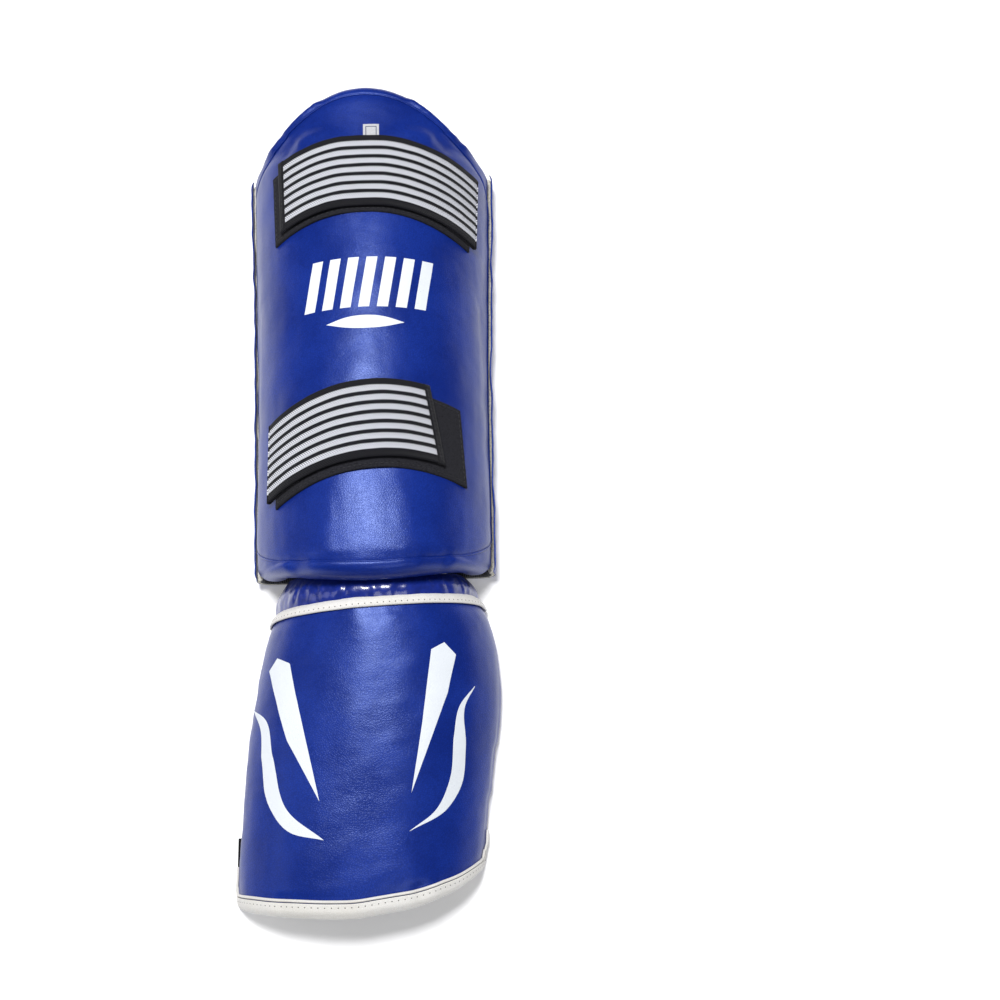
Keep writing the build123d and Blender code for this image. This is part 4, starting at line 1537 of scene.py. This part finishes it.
def fold_tape_place(rim_s, rim_y, in_s, in_y, lip, roll):
    """Returns the function that folds a tape over an edge, and the edge's length.

    t runs across the tape from -lip - turn to lip + turn about the outer fold. Its section
    is flat along the face, then inset = hold + roll (1 - sin a), depth = half thickness
    (1 - cos a), and flat along the lining; h is along the outward normal.
    """
    run = np.concatenate([[0.0], np.cumsum(np.hypot(np.diff(rim_s), np.diff(rim_y)))])
    turn = 0.0042

    def section(t):
        angle = math.pi * np.clip((t + turn) / (2 * turn), 0, 1)
        flat = np.clip(np.abs(t) - turn, 0, None)
        inset = tape_hold + roll * (1 - np.sin(angle)) + flat
        return inset, foot_thick / 2 * (1 - np.cos(angle))

    def place(w, t, h):
        inset, depth = section(t)
        ahead, behind = section(t + 0.0004), section(t - 0.0004)
        run_inset, run_depth = ahead[0] - behind[0], ahead[1] - behind[1]
        size = np.hypot(run_inset, run_depth)
        inset, depth = inset - h * run_depth / size, depth + h * run_inset / size
        s = np.interp(w, run, rim_s) + inset * np.interp(w, run, in_s)
        y = np.interp(w, run, rim_y) + inset * np.interp(w, run, in_y)
        return foot_skin(s, y, -depth)

    return place, run[-1], lip + turn


top_s = np.linspace(-foot_side + 0.0006, foot_side - 0.0006, 121)
lay_top_tape, top_run, top_reach = fold_tape_place(
    top_s, foot_top_line(top_s), np.zeros(121), -np.ones(121), 0.0040, 0.0024
)
top_tape = make_slab(
    "instep_top_binding_tape", lay_top_tape, rim_grid(0.0, top_run, 0.002, 0.0006),
    rim_grid(-top_reach, top_reach, 0.0007, 0.0018), 0.0001, 0.0024, 0.0018,
)
finish_piece(top_tape, binding_tape, "instep")
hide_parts("instep_top_binding")

toe_corner = 0.006            # rounding of the toe corners
toe_rise = 0.026              # how far the tape turns up each side
corner_turn = np.linspace(0, math.pi / 2, 12)
inner_arc = foot_side - toe_corner
toe_across = np.linspace(-inner_arc, inner_arc, 101)
left_toe = float(foot_toe_line(-inner_arc)) + toe_corner
right_toe = float(foot_toe_line(inner_arc)) + toe_corner
left_up = np.linspace(float(foot_toe_line(-foot_side)) + toe_rise, left_toe, 14)[:-1]
right_up = np.linspace(right_toe, float(foot_toe_line(foot_side)) + toe_rise, 14)[1:]
toe_s = np.concatenate([
    np.full(13, -foot_side), -inner_arc - toe_corner * np.cos(corner_turn), toe_across[1:-1],
    inner_arc + toe_corner * np.sin(corner_turn), np.full(13, foot_side),
])
toe_y = np.concatenate([
    left_up, left_toe - toe_corner * np.sin(corner_turn), foot_toe_line(toe_across[1:-1]),
    right_toe - toe_corner * np.cos(corner_turn), right_up,
])
toe_in_s = np.concatenate([
    np.ones(13), np.cos(corner_turn), np.zeros(99), -np.sin(corner_turn), -np.ones(13),
])
toe_in_y = np.concatenate([
    np.zeros(13), np.sin(corner_turn), np.ones(99), np.cos(corner_turn), np.zeros(13),
])
lay_toe_tape, toe_run, toe_reach = fold_tape_place(toe_s, toe_y, toe_in_s, toe_in_y, 0.0042, 0.0026)
toe_tape = make_slab(
    "instep_toe_binding_tape", lay_toe_tape, rim_grid(0.0, toe_run, 0.0018, 0.0006),
    rim_grid(-toe_reach, toe_reach, 0.0006, 0.0005), 0.0001, 0.0015, 0.0005,
)
finish_piece(toe_tape, binding_tape, "instep")
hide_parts("instep_toe_binding")

roll_w = np.linspace(0.012, toe_run - 0.012, 220)
roll_path = lay_toe_tape(roll_w, np.full(220, -toe_reach - 0.0013), 0.0006)
roll_over = lay_toe_tape(roll_w, np.full(220, -toe_reach - 0.0013), 0.01)
toe_roll = tube_round("toe_tape_roll", roll_path, roll_over - roll_path, 0.0009, closed=False)
finish_piece(toe_roll, binding_tape, "instep")

# ------------------------------------------------------------------ foot elastic
# A black elastic band passes under the sole, from one lower edge of the instep pad to
# the other, and its sewn ends just show at the toe corners.
band_width, band_thick = 0.028, 0.0015
band_middle = foot_toe + 0.042


def band_lay(s, t, h):
    """Lays the band flat on the table, turned by the foot's slant; its ends turn up."""
    x = foot_middles[3] + s
    y = band_middle + foot_slant * s + t
    width = through(y, foot_places, foot_half_widths)
    aside = through(y, foot_places, foot_middles)
    past = np.clip(np.abs(x - aside) - width + 0.0015, 0, None)
    return np.stack(np.broadcast_arrays(x - np.sign(s) * past * 0.6, y, h + past * 0.8), axis=-1)


band_half = 0.0770
foot_band = make_slab(
    "foot_elastic_band", band_lay, rim_grid(-band_half, band_half, 0.0015, 0.0006),
    rim_grid(-band_width / 2, band_width / 2, 0.0012, 0.0006), 0.0, band_thick, 0.0006,
)
finish_piece(foot_band, black_webbing, "instep")
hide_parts("foot_elastic")

# ------------------------------------------------------------------ ankle bridge
# A glossy blue strip of coated cloth joins the two pads. It is gathered between its two
# seams, so it stands in small folds and lets the foot piece turn up.


def bridge_place(s, t, h):
    """Lays the bridge from the shin pad's end, t = 0, to under the top binding, t = 1.

    Between its seams it bulges by 2.4 mm sin(pi t), and gathers of 5 to 9 mm run across
    it, up to 0.9 mm deep, fading at the seams.
    """
    share = t / bridge_run
    crown = np.cos(s / foot_radius)
    start = ankle_end + ankle_bow * np.sin(s / foot_radius * 0.94) ** 2 + 0.0010 + 0.0025 * crown
    end = foot_top_line(s) - 0.004
    y = start + share * (end - start)
    hump = np.sin(math.pi * np.clip(share, 0, 1))
    phase = 2 * math.pi * (s + 0.0040 * uneven(51, s, y, 0.04)) / 0.0105
    folds = np.sin(phase + 1.6 * share) * (0.5 + 0.5 * uneven(52, s, y, 0.025))
    lift = -0.0030 + 0.0028 * hump + 0.0006 * folds * hump
    return foot_base(s, y, h + lift)


bridge_run, bridge_side = 0.014, 0.094


def glossy_cloth(name, color):
    """Glossy coated cloth: strong clear coat over fine weave, crushed in slow creases whose raised crests
    carry a painted highlight.
    """
    material, tree, shader = start_material(name, color, 0.28)
    spot = tree.nodes.new("ShaderNodeTexCoord").outputs["Object"]
    crush = add_noise(tree, spot, 260.0, 3.0, 0.6)
    fine = add_noise(tree, spot, 1500.0, 1.0)
    # painted highlight: the crests of the crush are painted up to 1.5 times lighter
    light = tuple(1.5 * channel for channel in color)
    tree.links.new(
        mix_colors(tree, ramp_between(tree, crush, 0.3, 0.7), color, light),
        shader.inputs["Base Color"],
    )
    shader.inputs["Coat Weight"].default_value = 0.5
    shader.inputs["Coat Roughness"].default_value = 0.12
    height = do_math(tree, "ADD", crush, do_math(tree, "MULTIPLY", fine, 0.15))
    link_bump(tree, shader, height, 0.0002)
    return material


bridge_cloth = glossy_cloth("glossy_blue_cloth", (0.004, 0.014, 0.15))
bridge = make_slab(
    "ankle_bridge_cloth", bridge_place, rim_grid(-bridge_side, bridge_side, 0.0008, 0.0004),
    rim_grid(0.0, bridge_run, 0.0007, 0.0004), -0.0005, 0.0005, 0.0004,
)
finish_piece(bridge, bridge_cloth, None)
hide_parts("ankle_bridge")
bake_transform(bridge)
